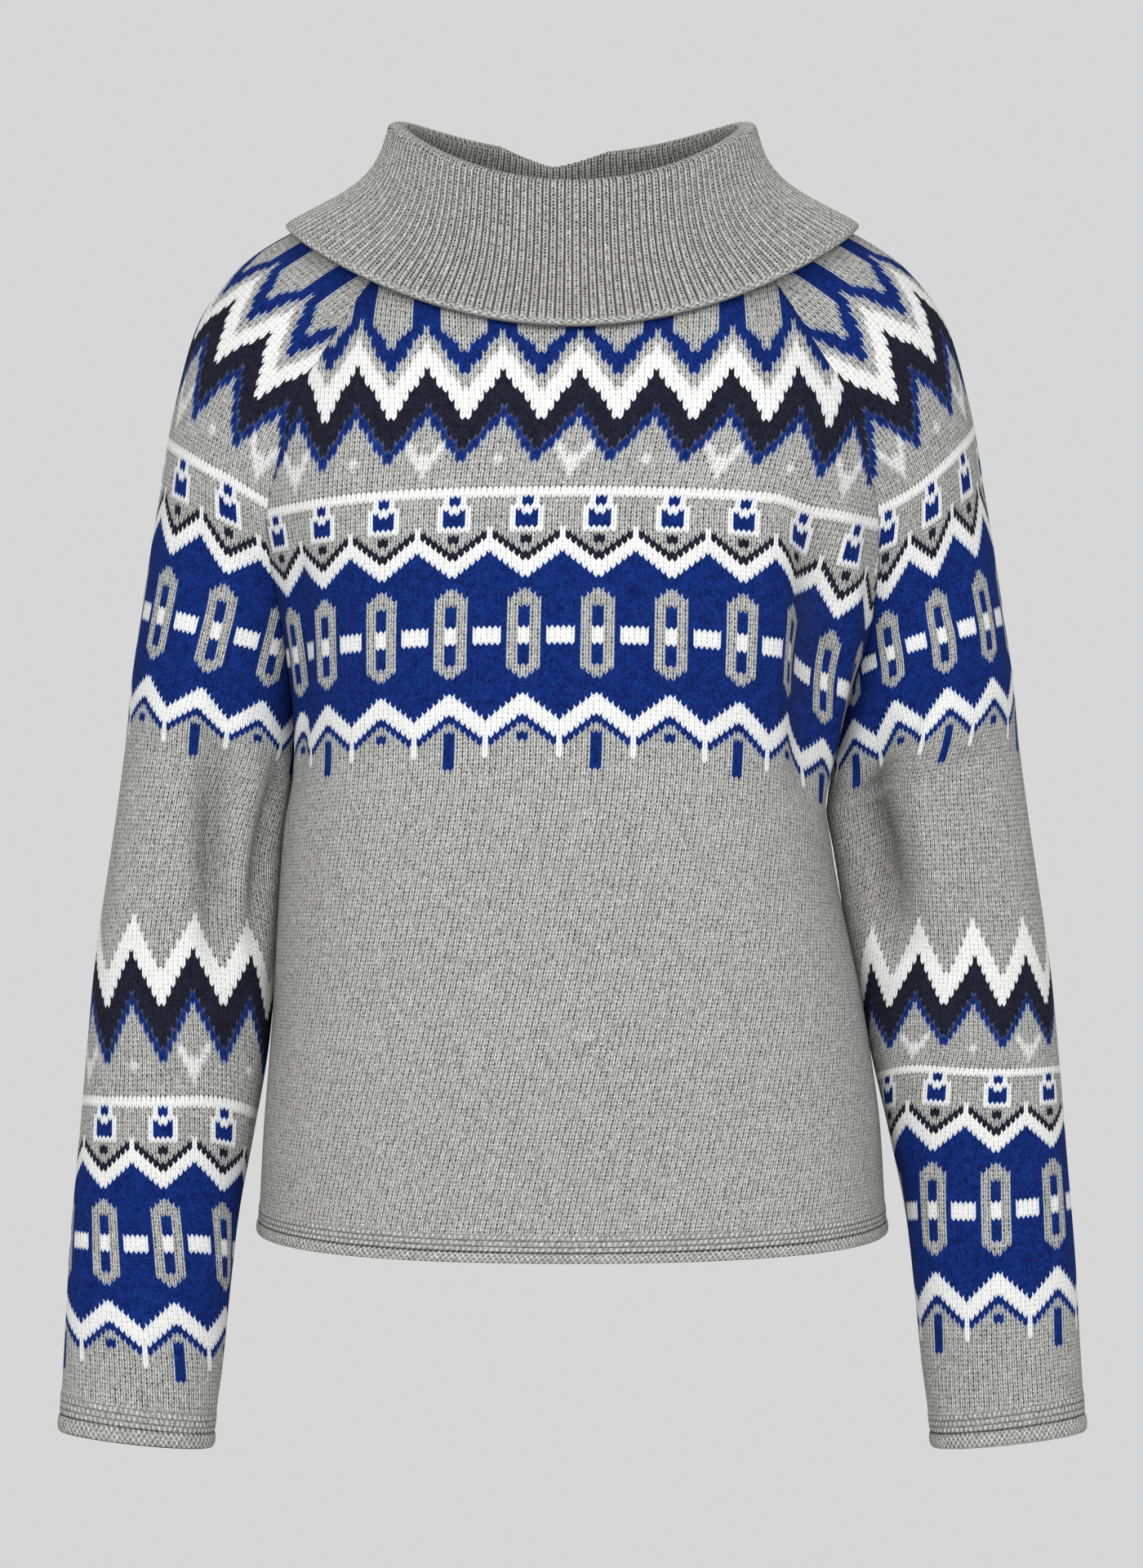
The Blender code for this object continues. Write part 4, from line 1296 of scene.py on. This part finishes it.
class JUMPER_OT_collar(bpy.types.Operator):
    """Knit the folded rib collar"""

    bl_idname = "jumper.collar"
    bl_label = "Collar"

    def execute(self, context):
        sizes = context.scene.jumper_sizes
        # the collar gets stronger painted shade in its stitches' gaps
        material = knit_material("ribbed_knit", 1.1)
        wall = sizes.wall + COLLAR_EXTRA
        nodes = ("front", "back", "sleeve_right", "sleeve_left")
        pieces = [bpy.data.objects[node + "_knit"] for node in nodes]
        bm = bmesh.new()
        at_seam = set()
        faces = []
        for mesh, row in (ribbed_face(sizes, wall, pieces), plain_face(sizes, wall, pieces)):
            count = len(bm.verts)
            bm.from_mesh(mesh)
            bm.verts.ensure_lookup_table()
            faces.append(bm.verts[count:])
            at_seam.update(vertex for vertex, line in zip(faces[-1], row) if line == 0)
        for verts in faces:
            bmesh.ops.remove_doubles(bm, verts=verts, dist=MERGE)
        bridge_rims(bm, lambda edge: edge.verts[0] in at_seam)
        piece = finished_piece("collar", bm, material)
        return {"FINISHED"}


class JUMPER_OT_stage(bpy.types.Operator):
    """Set up the floor, the light and the camera"""

    bl_idname = "jumper.stage"
    bl_label = "Stage"

    def execute(self, context):
        stage = context.scene.jumper_stage
        world = context.scene.world or bpy.data.worlds.new("studio")
        context.scene.world = world
        world.use_nodes = True
        background = world.node_tree.nodes["Background"]
        background.inputs["Color"].default_value = (*stage.backdrop, 1.0)
        background.inputs["Strength"].default_value = 1.0

        bm = bmesh.new()
        bmesh.ops.create_circle(bm, cap_ends=True, radius=1.0, segments=96)
        bmesh.ops.translate(bm, verts=bm.verts, vec=(0, 0, -0.83))
        mesh = bpy.data.meshes.new("floor")
        bm.to_mesh(mesh)
        bm.free()
        shader = Shader("floor_paper")
        place = shader.value("ShaderNodeTexCoord", output="Object")
        flat = shader.value("ShaderNodeVectorMath", {"operation": "MULTIPLY"}, [place, (1.0, 1.0, 0.0)])
        away = shader.value("ShaderNodeVectorMath", {"operation": "LENGTH"}, [flat], "Value")
        shader.finish(Base_Color=(0.64, 0.64, 0.64), Roughness=0.9, Specular_IOR_Level=0.1,
                      Alpha=1.0 - away.above(0.15, 0.5))
        mesh.materials.append(shader.material)
        placed("floor", mesh)

        for name, place, share in (
            ("key", (-1.1, -2.75, 0.7), 1.05),
            ("fill", (1.1, -2.75, 0.7), 0.9),
            ("low", (0.0, -2.9, -1.1), 0.12),
        ):
            data = bpy.data.lights.new(name, "AREA")
            data.energy = stage.key_power * share
            data.size = 1.4
            lamp = placed(name, data)
            lamp.location = place
            toward = Vector((0, 0, -0.33)) - lamp.location
            lamp.rotation_mode = "QUATERNION"
            lamp.rotation_quaternion = toward.to_track_quat("-Z", "Y")

        data = bpy.data.cameras.new("camera")
        data.lens = stage.lens / MM
        data.sensor_width = 36.0
        camera = placed("camera", data)
        camera.location = (-0.00045, -3.0, -0.3227)
        camera.rotation_euler = (math.radians(90), 0, 0)
        context.scene.camera = camera
        context.scene.view_settings.view_transform = "Standard"
        return {"FINISHED"}


class VIEW3D_PT_jumper(bpy.types.Panel):
    """The jumper's sizes, yarns and pieces"""

    bl_label = "Jumper"
    bl_space_type = "VIEW_3D"
    bl_region_type = "UI"
    bl_category = "Jumper"

    def draw(self, context):
        for name in GROUPS:
            group = getattr(context.scene, name)
            box = self.layout.box()
            for setting in group.__annotations__:
                box.prop(group, setting)
        for operator in OPERATORS:
            self.layout.operator(operator.bl_idname)


OPERATORS = (JUMPER_OT_panels, JUMPER_OT_sleeves, JUMPER_OT_collar, JUMPER_OT_stage)
GROUPS = {"jumper_sizes": JumperSizes, "jumper_yarns": JumperYarns, "jumper_stage": JumperStage}
CLASSES = (*GROUPS.values(), *OPERATORS, VIEW3D_PT_jumper)


def register():
    for cls in CLASSES:
        bpy.utils.register_class(cls)
    for name, group in GROUPS.items():
        setattr(bpy.types.Scene, name, bpy.props.PointerProperty(type=group))


def unregister():
    for name in GROUPS:
        delattr(bpy.types.Scene, name)
    for cls in reversed(CLASSES):
        bpy.utils.unregister_class(cls)


def main():
    register()
    bpy.ops.jumper.panels()
    bpy.ops.jumper.sleeves()
    bpy.ops.jumper.collar()
    bpy.ops.jumper.stage()


if __name__ == "__main__":
    main()
